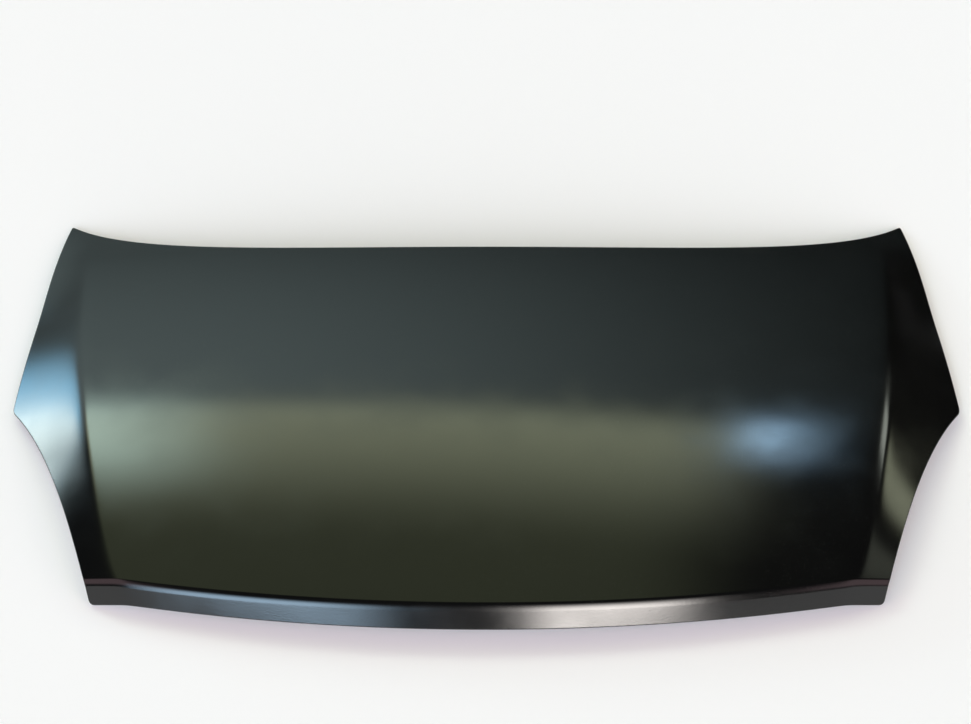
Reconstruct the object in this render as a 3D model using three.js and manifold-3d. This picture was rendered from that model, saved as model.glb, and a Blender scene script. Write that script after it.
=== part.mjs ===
// Car bonnet: a pressed outer skin hemmed over a ribbed inner frame, lying skin side up.
// Millimetres, +Z up, nose towards -Y, windscreen edge towards +Y, mirrored about X = 0.
import * as THREE from 'three';
import { mergeVertices } from 'three/addons/utils/BufferGeometryUtils.js';
import Module from 'manifold-3d';

const wasm = await Module();
wasm.setup();

// Crease from the windscreen edge to the nose fold, on the +X half
const CREASE_REAR_X = 652;
const CREASE_REAR_ANGLE = 84;     // degrees from +X
const CREASE_REAR_REACH = 240;
const CREASE_NOSE_X = 474;
const CREASE_NOSE_ANGLE = 65.4;
const CREASE_NOSE_REACH = 200;
const CREASE_SOFTNESS = 8;        // half width of the rounding across the crease
const FLANK_SLOPE = 0.45;         // extra fall of the flank outside the crease
const FLANK_NOSE_SLOPE = 0.25;    // the same at the nose fold
const FLANK_EASE_Y = -150;        // the fall eases forward of here
const FLANK_EASE_LENGTH = 220;
const FLANK_START_Y = 441;        // the flank starts to fall here and is full further forward
const FLANK_GROWTH = 290;

// Plan outline of the skin on the +X half, its corners beside the ends of the crease
const FLANK_REAR_WIDTH = 43;
const FLANK_NOSE_WIDTH = 48;
const REAR_MIDDLE_Y = 304;        // windscreen edge on the centre line
const REAR_CORNER_X = CREASE_REAR_X + FLANK_REAR_WIDTH;
const REAR_CORNER_Y = 441;
const REAR_CORNER_ANGLE = 45;     // edge direction at the corner, degrees from +X
const REAR_CORNER_REACH = 163;    // how far that direction holds
const REAR_MIDDLE_REACH = 373;    // how far the middle stays square to the car
const TIP_INSET = 4;              // where the side edge meets the headlamp edge, in from the corner
const TIP_Y = -27;
const SIDE_BOW = 1.5;             // the side edge bows out this much at mid length
const LAMP_TIP_ANGLE = 53.6;      // headlamp edge at the tip, degrees from +X
const LAMP_TIP_REACH = 110;
const LAMP_NOSE_ANGLE = 69.1;     // headlamp edge at the nose corner, degrees from +X
const LAMP_NOSE_REACH = 145;
const NOSE_FOLD_Y = -423.5;       // nose fold line on the centre line
const NOSE_FOLD_RADIUS = 2350;
const NOSE_CORNER_X = CREASE_NOSE_X + FLANK_NOSE_WIDTH;

// Lengthwise arch and cross crown of the skin
const REAR_HEIGHT = 66;
const REAR_RISE = 0.2;            // slope at the windscreen edge, rising forward
const NOSE_HEIGHT = 52;
const NOSE_FALL = 0.27;           // slope at the nose fold, falling forward
const REAR_CROWN_RADIUS = 7000;
const NOSE_CROWN_RADIUS = 5200;

// Nose lip, turned down from the fold
const LIP_RADIUS = 16;
const LIP_TURN = 72;              // degrees
const LIP_STRAIGHT = 14;
const LIP_STEPS = 4;

// Sheet, hem and glue
const SKIN_SHEET = 0.75;
const FRAME_SHEET = 0.65;
const SEAT_GAP = 0.3;             // left between pieces that touch
const HEM_GAP = 0.5;              // each side of the frame's flange in the hem
const HEM_RETURN = 9;
const HEM_FLANGE_SETBACK = 1;     // frame flange short of the fold
const HEM_FLANGE_WIDTH = 12;
const HEM_FLANGE_LEAN = 0.4;      // its inner side lies this much further from the skin
const MASTIC_GAP = 4;             // between the skin and the frame's flanges
const MASTIC_CLEARANCE = 0.4;     // left at the top and bottom of a mastic pad

// Inner frame channels, ribs and openings
const FRAME_DEPTH = 28;           // channel floor below the skin
const EDGE_DEPTH_SHARE = 0.5;     // share of the skin's height where the skin is low
const CHANNEL_FOOT = 26;          // edge of the channel floor, in from the outline
const CHANNEL_FOOT_ROUNDING = 14;
const REAR_CHANNEL = 82;          // windscreen edge to the openings
const NOSE_CHANNEL = 114;         // nose fold to the openings
const SIDE_RIB = 32;              // crease to the openings
const CENTRE_RIB = 56;
const DIAGONAL_RIB = 64;
const DIAGONAL_REAR_X = 370;      // rib centre at the rear channel
const DIAGONAL_NOSE_X = 170;      // rib centre at the nose channel
const CROSS_RIB = 56;
const CROSS_RIB_Y = -40;
const HINGE_CORNER_X = 120;       // corner cut off the opening beside the hinge pad
const HINGE_CORNER_Y = 130;
const OPENING_CORNER_RADIUS = 52; // or less, where a side is too short for it
const CORNER_SHARE = 0.98;        // most of a side that its two corners take up
const OPENING_SIDE_BOW = 2;       // straight sides of the openings bow out this much
const RIB_WALL_RUN = 14;
const OPENING_FLANGE = 18;

// Hinge and striker pads, with their reinforcements and weld nuts
const HINGE_PAD_INSET = 52;       // pad middle in from the crease
const HINGE_PAD_Y = 236;
const HINGE_PAD_WIDTH = 46;
const HINGE_PAD_LENGTH = 104;
const HINGE_BOLT_SPACING = 60;
const STRIKER_PAD_SETBACK = 68;   // behind the nose fold
const STRIKER_PAD_WIDTH = 92;
const STRIKER_PAD_LENGTH = 44;
const STRIKER_BOLT_SPACING = 56;
const PAD_STEP = 2;               // lowest floor down to the pad
const PAD_WALL_RUN = 8;
const PAD_CORNER_RADIUS = 10;
const BOLT_HOLE_RADIUS = 5;
const PLATE_THICKNESS = 2;
const PLATE_MARGIN = 4;           // plate edge in from the pad edge
const PLATE_FLANGE_HEIGHT = 8;
const NUT_ACROSS_FLATS = 13;
const NUT_HEIGHT = 7;
const NUT_BORE_RADIUS = 3.4;

// Nose stiffener, mastic pads and small holes
const STIFFENER_HALF_LENGTH = 280;
const STIFFENER_SETBACK = 22;     // behind the nose fold
const STIFFENER_FLANGE = 10;
const STIFFENER_CROWN = 18;
const STIFFENER_DEPTH = 7;
const STIFFENER_SHEET = 0.8;
const STIFFENER_STATIONS = 14;
const MASTIC_RADIUS = 6;
const MASTIC_SPACING = 230;
const MASTIC_SIDES = 10;
const DRAIN_HOLE_RADIUS = 7;
const PROP_HOLE_RADIUS = 9;
const PROP_HOLE_Y = -120;         // under the crease, ahead of the cross rib

// Grid of the skin
const MIDDLE_COLUMNS = 10;
const CREASE_COLUMN = 0.97;       // extra column just inside the crease
const FLANK_COLUMNS = [0.15, 0.5, 1];   // shares of the way to the column beside the edge
const EDGE_COLUMN = 20;           // column beside the edge, in from it
const LENGTH_ROWS = 20;
const FOLD_ROW = 0.975;           // extra row just behind the nose fold

const radians = THREE.MathUtils.degToRad;
const mix = THREE.MathUtils.lerp;

// Point at a distance from a start, in a direction given in degrees from +X
function reach(x, y, angle, distance) {
  return new THREE.Vector2(
    x + Math.cos(radians(angle)) * distance,
    y + Math.sin(radians(angle)) * distance,
  );
}

// The other coordinate where a curve that runs one way passes a coordinate, straight on past its ends
function followCurve(curve, from, to, value) {
  const start = curve.getPoint(0);
  const end = curve.getPoint(1);
  const forward = end[from] > start[from];
  let low = 0;
  let high = 1;
  for (let step = 0; step < 40; step++) {
    const middle = (low + high) / 2;
    if ((curve.getPoint(middle)[from] < value) === forward) low = middle;
    else high = middle;
  }
  const point = curve.getPoint((low + high) / 2);
  const tangent = curve.getTangent((low + high) / 2);
  return point[to] + (tangent[to] / tangent[from]) * (value - point[from]);
}

const rearEdge = new THREE.CubicBezierCurve(
  new THREE.Vector2(0, REAR_MIDDLE_Y),
  new THREE.Vector2(REAR_MIDDLE_REACH, REAR_MIDDLE_Y),
  reach(REAR_CORNER_X, REAR_CORNER_Y, REAR_CORNER_ANGLE, -REAR_CORNER_REACH),
  new THREE.Vector2(REAR_CORNER_X, REAR_CORNER_Y),
);

function rearEdgeY(x) {
  return followCurve(rearEdge, 'x', 'y', x);
}

function noseFoldY(x) {
  return NOSE_FOLD_Y + NOSE_FOLD_RADIUS - Math.sqrt(NOSE_FOLD_RADIUS ** 2 - x ** 2);
}

const tipX = REAR_CORNER_X - TIP_INSET;
const noseCornerY = noseFoldY(NOSE_CORNER_X);
const lampEdge = new THREE.CubicBezierCurve(
  new THREE.Vector2(tipX, TIP_Y),
  reach(tipX, TIP_Y, LAMP_TIP_ANGLE, -LAMP_TIP_REACH),
  reach(NOSE_CORNER_X, noseCornerY, LAMP_NOSE_ANGLE, LAMP_NOSE_REACH),
  new THREE.Vector2(NOSE_CORNER_X, noseCornerY),
);

const creaseRearY = rearEdgeY(CREASE_REAR_X);
const creaseNoseY = noseFoldY(CREASE_NOSE_X);
const crease = new THREE.CubicBezierCurve(
  new THREE.Vector2(CREASE_REAR_X, creaseRearY),
  reach(CREASE_REAR_X, creaseRearY, CREASE_REAR_ANGLE, -CREASE_REAR_REACH),
  reach(CREASE_NOSE_X, creaseNoseY, CREASE_NOSE_ANGLE, CREASE_NOSE_REACH),
  new THREE.Vector2(CREASE_NOSE_X, creaseNoseY),
);

function creaseX(y) {
  return followCurve(crease, 'y', 'x', y);
}

// Side edge and headlamp edge as one line, share 0 at the rear corner and 1 at the nose corner
const tipShare = (REAR_CORNER_Y - TIP_Y) / (REAR_CORNER_Y - noseCornerY);

function sideEdge(share) {
  if (share > tipShare) return lampEdge.getPoint((share - tipShare) / (1 - tipShare));
  const along = share / tipShare;
  const bow = SIDE_BOW * 4 * along * (1 - along);
  return new THREE.Vector2(mix(REAR_CORNER_X, tipX, along) + bow, mix(REAR_CORNER_Y, TIP_Y, along));
}

// Height of the centre line: one cubic from the windscreen edge to the nose fold, straight beyond
function ridgeHeight(y) {
  const length = REAR_MIDDLE_Y - NOSE_FOLD_Y;
  const share = (REAR_MIDDLE_Y - y) / length;
  if (share < 0) return REAR_HEIGHT + share * length * REAR_RISE;
  if (share > 1) return NOSE_HEIGHT - (share - 1) * length * NOSE_FALL;
  const square = share ** 2;
  const cube = share ** 3;
  return REAR_HEIGHT * (2 * cube - 3 * square + 1)
    + NOSE_HEIGHT * (3 * square - 2 * cube)
    + length * REAR_RISE * (cube - 2 * square + share)
    - length * NOSE_FALL * (cube - square);
}

// Height of the skin's outer face, without the nose lip
function skinHeight(x, y) {
  const share = THREE.MathUtils.clamp((REAR_MIDDLE_Y - y) / (REAR_MIDDLE_Y - NOSE_FOLD_Y), 0, 1);
  const crown = mix(1 / REAR_CROWN_RADIUS, 1 / NOSE_CROWN_RADIUS, share);
  const outside = Math.abs(x) - creaseX(y);
  const flank = (outside + Math.hypot(outside, CREASE_SOFTNESS)) / 2;
  const growth = THREE.MathUtils.smoothstep(FLANK_START_Y - y, 0, FLANK_GROWTH);
  const ease = THREE.MathUtils.smoothstep(FLANK_EASE_Y - y, 0, FLANK_EASE_LENGTH);
  const slope = mix(FLANK_SLOPE, FLANK_NOSE_SLOPE, ease) * growth;
  return ridgeHeight(y) - (crown * x ** 2) / 2 - slope * flank;
}

// Plan of the skin between the centre line and the crease: across and along run from 0 to 1
function middlePlan(across, along) {
  const creasePoint = crease.getPoint(along);
  const edgeY = mix(rearEdgeY(across * CREASE_REAR_X), noseFoldY(across * CREASE_NOSE_X), along);
  const bend = creasePoint.y - mix(creaseRearY, creaseNoseY, along);
  return new THREE.Vector2(across * creasePoint.x, edgeY + across * bend);
}

// Plan of the flank between the crease and the side edge
function flankPlan(across, along) {
  const creasePoint = crease.getPoint(along);
  const sidePoint = sideEdge(along);
  const rearY = rearEdgeY(mix(CREASE_REAR_X, REAR_CORNER_X, across));
  const noseY = noseFoldY(mix(CREASE_NOSE_X, NOSE_CORNER_X, across));
  const creaseBend = creasePoint.y - mix(creaseRearY, creaseNoseY, along);
  const sideBend = sidePoint.y - mix(REAR_CORNER_Y, noseCornerY, along);
  return new THREE.Vector2(
    mix(creasePoint.x, sidePoint.x, across),
    mix(rearY, noseY, along) + mix(creaseBend, sideBend, across),
  );
}

// Columns of the right half, from the centre line outwards
function planColumns() {
  const columns = [];
  for (let index = 0; index < MIDDLE_COLUMNS; index++) {
    columns.push((along) => middlePlan(index / MIDDLE_COLUMNS, along));
  }
  columns.push((along) => middlePlan(CREASE_COLUMN, along));
  columns.push((along) => middlePlan(1, along));
  for (const share of FLANK_COLUMNS) {
    columns.push((along) => {
      const width = sideEdge(along).x - crease.getPoint(along).x;
      return flankPlan(share * (1 - EDGE_COLUMN / width), along);
    });
  }
  columns.push((along) => flankPlan(1, along));
  return columns;
}

// Rows from the windscreen edge to the lip's lower edge, one of them through the tip:
// share along, then run and drop of the lip
function gridRows() {
  const rows = [];
  const tipRow = Math.round(LENGTH_ROWS * tipShare);
  for (let index = 0; index < LENGTH_ROWS; index++) {
    const beyond = (index - tipRow) / (LENGTH_ROWS - tipRow);
    const along = beyond < 0 ? (index / tipRow) * tipShare : mix(tipShare, 1, beyond);
    rows.push({ along, run: 0, drop: 0 });
  }
  rows.push({ along: FOLD_ROW, run: 0, drop: 0 });
  for (let step = 0; step <= LIP_STEPS; step++) {
    const turn = radians((LIP_TURN * step) / LIP_STEPS);
    rows.push({ along: 1, run: LIP_RADIUS * Math.sin(turn), drop: LIP_RADIUS * (1 - Math.cos(turn)) });
  }
  const lastTurn = radians(LIP_TURN);
  rows.push({
    along: 1,
    run: LIP_RADIUS * Math.sin(lastTurn) + LIP_STRAIGHT * Math.cos(lastTurn),
    drop: LIP_RADIUS * (1 - Math.cos(lastTurn)) + LIP_STRAIGHT * Math.sin(lastTurn),
  });
  return rows;
}

// The lip narrows as it runs forward, so that its ends carry on the headlamp edges
const lipTaper = 1 / (Math.tan(radians(LAMP_NOSE_ANGLE)) * NOSE_CORNER_X);

// A sheet is a list of points on its upper face and triangles that run anticlockwise from above
function newSheet() {
  return { points: [], triangles: [], offsets: new Map() };
}

function addLoop(sheet, points) {
  return points.map((point) => sheet.points.push(point) - 1);
}

// Two triangles for four corners, split along the shorter diagonal
function addQuad(sheet, a, b, c, d) {
  const apart = (from, to) => sheet.points[from].distanceTo(sheet.points[to]);
  if (apart(a, c) < apart(b, d)) sheet.triangles.push([a, b, c], [a, c, d]);
  else sheet.triangles.push([a, b, d], [b, c, d]);
}

// Band between two closed loops with as many points
function addBand(sheet, inner, outer) {
  for (let index = 0; index < inner.length; index++) {
    const next = (index + 1) % inner.length;
    addQuad(sheet, inner[index], outer[index], outer[next], inner[next]);
  }
}

// Swaps the shared edge of two neighbours wherever that gives rounder triangles, until none is left
function roundTriangles(triangles, plan) {
  const angleAt = (corner, from, to) => (
    plan(from).sub(plan(corner)).angleTo(plan(to).sub(plan(corner)))
  );
  let swapped = true;
  while (swapped) {
    swapped = false;
    const neighbours = new Map();
    triangles.forEach(([a, b, c], index) => {
      neighbours.set(`${a},${b}`, { index, tip: c });
      neighbours.set(`${b},${c}`, { index, tip: a });
      neighbours.set(`${c},${a}`, { index, tip: b });
    });
    const touched = new Set();
    for (const [edge, here] of neighbours) {
      const [a, b] = edge.split(',').map(Number);
      const there = neighbours.get(`${b},${a}`);
      if (!there || touched.has(here.index) || touched.has(there.index)) continue;
      if (angleAt(here.tip, a, b) + angleAt(there.tip, a, b) < Math.PI + 1e-6) continue;
      triangles[here.index] = [a, there.tip, here.tip];
      triangles[there.index] = [there.tip, b, here.tip];
      touched.add(here.index).add(there.index);
      swapped = true;
    }
  }
}

// Triangles that fill a closed loop around its holes, worked out in plan
function addFloor(sheet, outline, holes) {
  const plan = (index) => new THREE.Vector2(sheet.points[index].x, sheet.points[index].y);
  const planLoop = (loop) => loop.map(plan);
  const indices = [outline, ...holes].flat();
  const fill = THREE.ShapeUtils.triangulateShape(planLoop(outline), holes.map(planLoop));
  const triangles = fill.map((triangle) => {
    const corners = triangle.map((corner) => indices[corner]);
    return THREE.ShapeUtils.area(planLoop(corners)) < 0 ? corners.reverse() : corners;
  });
  roundTriangles(triangles, plan);
  sheet.triangles.push(...triangles);
}

// Upward unit normals of a sheet's points
function sheetNormals(sheet) {
  const normals = sheet.points.map(() => new THREE.Vector3());
  for (const [a, b, c] of sheet.triangles) {
    const first = sheet.points[b].clone().sub(sheet.points[a]);
    const second = sheet.points[c].clone().sub(sheet.points[a]);
    const normal = first.cross(second);
    for (const index of [a, b, c]) normals[index].add(normal);
  }
  return normals.map((normal) => normal.normalize());
}

// Closed solid of a sheet: the upper face, the same face one thickness below, and the edges
function thickenSheet(sheet, thickness) {
  const normals = sheetNormals(sheet);
  const count = sheet.points.length;
  const lower = sheet.points.map((point, index) => {
    const direction = sheet.offsets.get(index) ?? normals[index];
    return point.clone().addScaledVector(direction, -thickness);
  });
  const used = new Set(sheet.triangles.flatMap(([a, b, c]) => [`${a},${b}`, `${b},${c}`, `${c},${a}`]));
  const faces = [];
  for (const [a, b, c] of sheet.triangles) {
    faces.push(a, b, c, a + count, c + count, b + count);
    for (const [from, to] of [[a, b], [b, c], [c, a]]) {
      if (used.has(`${to},${from}`)) continue;
      faces.push(to, from, from + count, to, from + count, to + count);
    }
  }
  const geometry = new THREE.BufferGeometry();
  geometry.setFromPoints([...sheet.points, ...lower]);
  geometry.setIndex(faces);
  return geometry;
}

// Outer face of the skin on its grid, with the closed ring of its edge
function skinGrid() {
  const sheet = newSheet();
  const rightColumns = planColumns();
  const last = rightColumns.length - 1;
  const rows = gridRows();
  const grid = rows.map(({ along, run, drop }) => {
    const right = rightColumns.map((column) => {
      const plan = column(along);
      plan.x *= 1 - run * lipTaper;
      plan.y -= run;
      return new THREE.Vector3(plan.x, plan.y, skinHeight(plan.x, plan.y) - drop);
    });
    const left = right.slice(1).reverse().map((point) => new THREE.Vector3(-point.x, point.y, point.z));
    return addLoop(sheet, [...left, ...right]);
  });
  const bottom = rows.length - 1;
  for (let row = 0; row < bottom; row++) {
    for (let column = 0; column < 2 * last; column++) {
      const [rearLeft, rearRight] = [grid[row][column], grid[row][column + 1]];
      const [noseLeft, noseRight] = [grid[row + 1][column], grid[row + 1][column + 1]];
      addQuad(sheet, rearLeft, noseLeft, noseRight, rearRight);
    }
  }
  const ring = [
    ...grid[0].slice(1).reverse(),
    ...grid.slice(0, bottom).map((row) => row[0]),
    ...grid[bottom].slice(0, -1),
    ...grid.slice(1).map((row) => row[2 * last]).reverse(),
  ];
  return { sheet, ring };
}

// For each point of the skin's ring: its place, the upward normal and the mitred outward direction
function ringFrames({ sheet, ring }) {
  const normals = sheetNormals(sheet);
  const outward = (from, to, up) => sheet.points[to].clone().sub(sheet.points[from]).cross(up).normalize();
  return ring.map((point, index) => {
    const up = normals[point];
    const before = outward(ring[(index + ring.length - 1) % ring.length], point, up);
    const after = outward(point, ring[(index + 1) % ring.length], up);
    const out = before.clone().add(after).divideScalar(1 + before.dot(after));
    return { place: sheet.points[point], up, out };
  });
}

const skin = skinGrid();
const edgeFrames = ringFrames(skin);

// Loop that follows the skin's edge at a distance outwards and upwards from it
function edgeLoop(outwards, upwards) {
  return edgeFrames.map(({ place, up, out }) => (
    place.clone().addScaledVector(out, outwards).addScaledVector(up, upwards)
  ));
}

const hemHeight = 2 * SKIN_SHEET + FRAME_SHEET + 2 * HEM_GAP;

// Pressed skin whose edge is folded back under the frame's flange
function outerSkin() {
  const sheet = { ...skin.sheet, points: [...skin.sheet.points], triangles: [...skin.sheet.triangles] };
  const radius = hemHeight / 2;
  let previous = skin.ring;
  for (const turn of [30, 90, 150, 180]) {
    const angle = radians(turn);
    const loop = addLoop(sheet, edgeLoop(radius * Math.sin(angle), radius * (Math.cos(angle) - 1)));
    addBand(sheet, previous, loop);
    previous = loop;
  }
  addBand(sheet, previous, addLoop(sheet, edgeLoop(-HEM_RETURN, -hemHeight)));
  return thickenSheet(sheet, SKIN_SHEET);
}

// Lowest point of the skin, which the bonnet rests on
const restHeight = Math.min(...edgeLoop(0, -hemHeight).map((point) => point.z));

// Heights of the frame's upper face: under the skin at the flanges, and on the channel floor
function flangeHeight(x, y) {
  return skinHeight(x, y) - SKIN_SHEET - MASTIC_GAP;
}

function floorHeight(x, y) {
  const height = skinHeight(x, y);
  return height - Math.min(FRAME_DEPTH, EDGE_DEPTH_SHARE * (height - restHeight));
}

function onSurface(points, heightAt) {
  return points.map(({ x, y }) => new THREE.Vector3(x, y, heightAt(x, y)));
}

// Closed plan line moved inwards by a distance, with mitred corners
function insetPlan(points, distance) {
  return points.map((point, index) => {
    const before = points[(index + points.length - 1) % points.length];
    const after = points[(index + 1) % points.length];
    const into = point.clone().sub(before).normalize();
    const from = after.clone().sub(point).normalize();
    const inward = new THREE.Vector2(-into.y - from.y, into.x + from.x);
    return point.clone().addScaledVector(inward, distance / (1 + into.dot(from)));
  });
}

// Plan line with each corner sharper than a limit cut back to two points
function cutCorners(points, cut) {
  return points.flatMap((point, index) => {
    const before = points[(index + points.length - 1) % points.length].clone().sub(point);
    const after = points[(index + 1) % points.length].clone().sub(point);
    if (before.angleTo(after) > radians(160)) return [point];
    return [before, after].map((side) => point.clone().addScaledVector(side.normalize(), cut));
  });
}

// Edge of the channel floor: the plan outline at the nose fold, moved inwards
function channelFoot() {
  const shares = [0, 0.11, 0.22, 0.33, 0.44, 0.55, 0.66, 0.77, 0.88];
  const rear = shares.map((share) => new THREE.Vector2(REAR_CORNER_X * share, rearEdgeY(REAR_CORNER_X * share)));
  const side = [0, 0.16, 0.32, 0.49, 0.66, 0.83].map((share) => sideEdge(share * tipShare));
  const lamp = [0, 0.2, 0.4, 0.6, 0.8, 1].map((share) => lampEdge.getPoint(share));
  const nose = [0.85, 0.7, 0.56, 0.42, 0.28, 0.14].map((share) => (
    new THREE.Vector2(NOSE_CORNER_X * share, noseFoldY(NOSE_CORNER_X * share))
  ));
  const right = [...rear.slice(1), ...side, ...lamp, ...nose].reverse();
  const left = right.map((point) => new THREE.Vector2(-point.x, point.y)).reverse();
  const middleNose = new THREE.Vector2(0, NOSE_FOLD_Y);
  return cutCorners(insetPlan([middleNose, ...right, rear[0], ...left], CHANNEL_FOOT), CHANNEL_FOOT_ROUNDING);
}

// Rounded convex outline, moved inwards by a distance around the same corner centres
function roundedOutline(corners, radius, inset, sideSteps) {
  const arcs = corners.map((corner, index) => {
    const before = corners[(index + corners.length - 1) % corners.length].clone().sub(corner).normalize();
    const after = corners[(index + 1) % corners.length].clone().sub(corner).normalize();
    const half = before.angleTo(after) / 2;
    const middle = before.clone().add(after).normalize();
    const centre = corner.clone().addScaledVector(middle, radius / Math.sin(half));
    const start = Math.atan2(-before.x, before.y);
    const sweep = Math.PI - 2 * half;
    return [0, 1 / 3, 2 / 3, 1].map((share) => {
      const angle = start + Math.PI + sweep * share;
      const direction = new THREE.Vector2(Math.cos(angle), Math.sin(angle));
      return centre.clone().addScaledVector(direction, radius - inset);
    });
  });
  return arcs.flatMap((arc, index) => {
    const start = arc[arc.length - 1];
    const end = arcs[(index + 1) % arcs.length][0];
    const along = end.clone().sub(start).normalize();
    const outward = new THREE.Vector2(along.y, -along.x);
    const shares = Array.from({ length: sideSteps - 1 }, (_, step) => (step + 1) / sideSteps);
    const side = shares.map((share) => (
      start.clone().lerp(end, share).addScaledVector(outward, OPENING_SIDE_BOW * 4 * share * (1 - share))
    ));
    return [...arc, ...side];
  });
}

// Largest corner radius that leaves room on every side of a convex outline
function largestRadius(corners) {
  const rooms = corners.map((corner, index) => {
    const before = corners[(index + corners.length - 1) % corners.length].clone().sub(corner);
    const next = corners[(index + 1) % corners.length].clone().sub(corner);
    const after = corners[(index + 2) % corners.length].clone().sub(corner).sub(next);
    const here = 1 / Math.tan(before.angleTo(next) / 2);
    const there = 1 / Math.tan(after.angleTo(next.clone().negate()) / 2);
    return next.length() / (here + there);
  });
  return Math.min(...rooms) * CORNER_SHARE;
}

function mirrored(corners) {
  return corners.map((corner) => new THREE.Vector2(-corner.x, corner.y)).reverse();
}

// Floor edges of the frame's openings, anticlockwise from above
const openingRearY = REAR_MIDDLE_Y - REAR_CHANNEL;
const openingNoseY = NOSE_FOLD_Y + NOSE_CHANNEL;

function diagonalX(y) {
  const share = (openingRearY - y) / (openingRearY - openingNoseY);
  return mix(DIAGONAL_REAR_X, DIAGONAL_NOSE_X, share);
}

function sideRibX(y) {
  return creaseX(y) - SIDE_RIB;
}

function openingCorners() {
  const point = (x, y) => new THREE.Vector2(x, y);
  const inner = (y) => diagonalX(y) - DIAGONAL_RIB / 2;
  const outer = (y) => diagonalX(y) + DIAGONAL_RIB / 2;
  const crossRear = CROSS_RIB_Y + CROSS_RIB / 2;
  const crossNose = CROSS_RIB_Y - CROSS_RIB / 2;
  const middle = [
    point(CENTRE_RIB / 2, openingNoseY),
    point(inner(openingNoseY), openingNoseY),
    point(inner(openingRearY), openingRearY),
    point(CENTRE_RIB / 2, openingRearY),
  ];
  const hingeY = openingRearY - HINGE_CORNER_Y;
  const rear = [
    point(outer(crossRear), crossRear),
    point(sideRibX(crossRear), crossRear),
    point(sideRibX(hingeY), hingeY),
    point(sideRibX(openingRearY) - HINGE_CORNER_X, openingRearY),
    point(outer(openingRearY), openingRearY),
  ];
  const nose = [
    point(outer(openingNoseY), openingNoseY),
    point(sideRibX(openingNoseY), openingNoseY),
    point(sideRibX(crossNose), crossNose),
    point(outer(crossNose), crossNose),
  ];
  return {
    middle_left: middle,
    middle_right: mirrored(middle),
    rear_left: rear,
    rear_right: mirrored(rear),
    nose_left: nose,
    nose_right: mirrored(nose),
  };
}

const openings = openingCorners();

// Wall up from the channel floor and flange under the skin, around one opening
function addOpening(sheet, corners) {
  const radius = Math.min(OPENING_CORNER_RADIUS, largestRadius(corners));
  const outline = (inset) => roundedOutline(corners, radius, inset, 3);
  const foot = addLoop(sheet, onSurface(outline(0), floorHeight));
  const top = addLoop(sheet, onSurface(outline(RIB_WALL_RUN), flangeHeight));
  const edge = addLoop(sheet, onSurface(outline(RIB_WALL_RUN + OPENING_FLANGE), flangeHeight));
  addBand(sheet, top, foot);
  addBand(sheet, edge, top);
  return foot;
}

function rectangleCorners({ x, y, width, length }, margin) {
  const halfWidth = width / 2 + margin;
  const halfLength = length / 2 + margin;
  return [[-1, -1], [1, -1], [1, 1], [-1, 1]].map(([across, along]) => (
    new THREE.Vector2(x + across * halfWidth, y + along * halfLength)
  ));
}

function circlePlan(x, y, radius, sides) {
  return Array.from({ length: sides }, (_, index) => {
    const angle = (2 * Math.PI * index) / sides;
    return new THREE.Vector2(x + radius * Math.cos(angle), y + radius * Math.sin(angle));
  });
}

// Level pads that stand a little below the floor, with two bolt holes each
function newPad(name, x, y, width, length, bolts) {
  const pad = { name, x, y, width, length, bolts };
  const around = onSurface(rectangleCorners(pad, PAD_WALL_RUN), floorHeight);
  pad.height = Math.min(...around.map((point) => point.z)) - PAD_STEP;
  return pad;
}

function hingePad(name, side) {
  const x = side * (creaseX(HINGE_PAD_Y) - HINGE_PAD_INSET);
  const bolts = [-1, 1].map((end) => new THREE.Vector2(x, HINGE_PAD_Y + (end * HINGE_BOLT_SPACING) / 2));
  return newPad(name, x, HINGE_PAD_Y, HINGE_PAD_WIDTH, HINGE_PAD_LENGTH, bolts);
}

function strikerPad() {
  const y = NOSE_FOLD_Y + STRIKER_PAD_SETBACK;
  const bolts = [-1, 1].map((end) => new THREE.Vector2((end * STRIKER_BOLT_SPACING) / 2, y));
  return newPad('striker', 0, y, STRIKER_PAD_WIDTH, STRIKER_PAD_LENGTH, bolts);
}

const pads = [hingePad('hinge_left', 1), hingePad('hinge_right', -1), strikerPad()];

function addPad(sheet, pad) {
  const foot = roundedOutline(rectangleCorners(pad, PAD_WALL_RUN), PAD_CORNER_RADIUS + PAD_WALL_RUN, 0, 1);
  const edge = roundedOutline(rectangleCorners(pad, 0), PAD_CORNER_RADIUS, 0, 1);
  const level = (points) => onSurface(points, () => pad.height);
  const footLoop = addLoop(sheet, onSurface(foot, floorHeight));
  const edgeLoopIndices = addLoop(sheet, level(edge));
  const holes = pad.bolts.map(({ x, y }) => addLoop(sheet, level(circlePlan(x, y, BOLT_HOLE_RADIUS, 16))));
  addBand(sheet, edgeLoopIndices, footLoop);
  addFloor(sheet, edgeLoopIndices, holes);
  for (const index of [...edgeLoopIndices, ...holes.flat()]) {
    sheet.offsets.set(index, new THREE.Vector3(0, 0, 1));
  }
  return footLoop;
}

// Drain and locating holes in the channel floor, and a prop rod hole on each side
function floorHoles() {
  const crossY = CROSS_RIB_Y;
  const rearY = REAR_MIDDLE_Y - (REAR_CHANNEL + CHANNEL_FOOT) / 2;
  const pairs = [
    [diagonalX(crossY), crossY],
    [DIAGONAL_REAR_X, rearY],
    [DIAGONAL_REAR_X / 2, rearY],
    [creaseX(crossY), crossY],
  ];
  const holes = pairs.flatMap(([x, y]) => [x, -x].map((place) => circlePlan(place, y, DRAIN_HOLE_RADIUS, 12)));
  const propX = creaseX(PROP_HOLE_Y);
  const propHoles = [propX, -propX].map((place) => circlePlan(place, PROP_HOLE_Y, PROP_HOLE_RADIUS, 14));
  return [...holes, ...propHoles];
}

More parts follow.
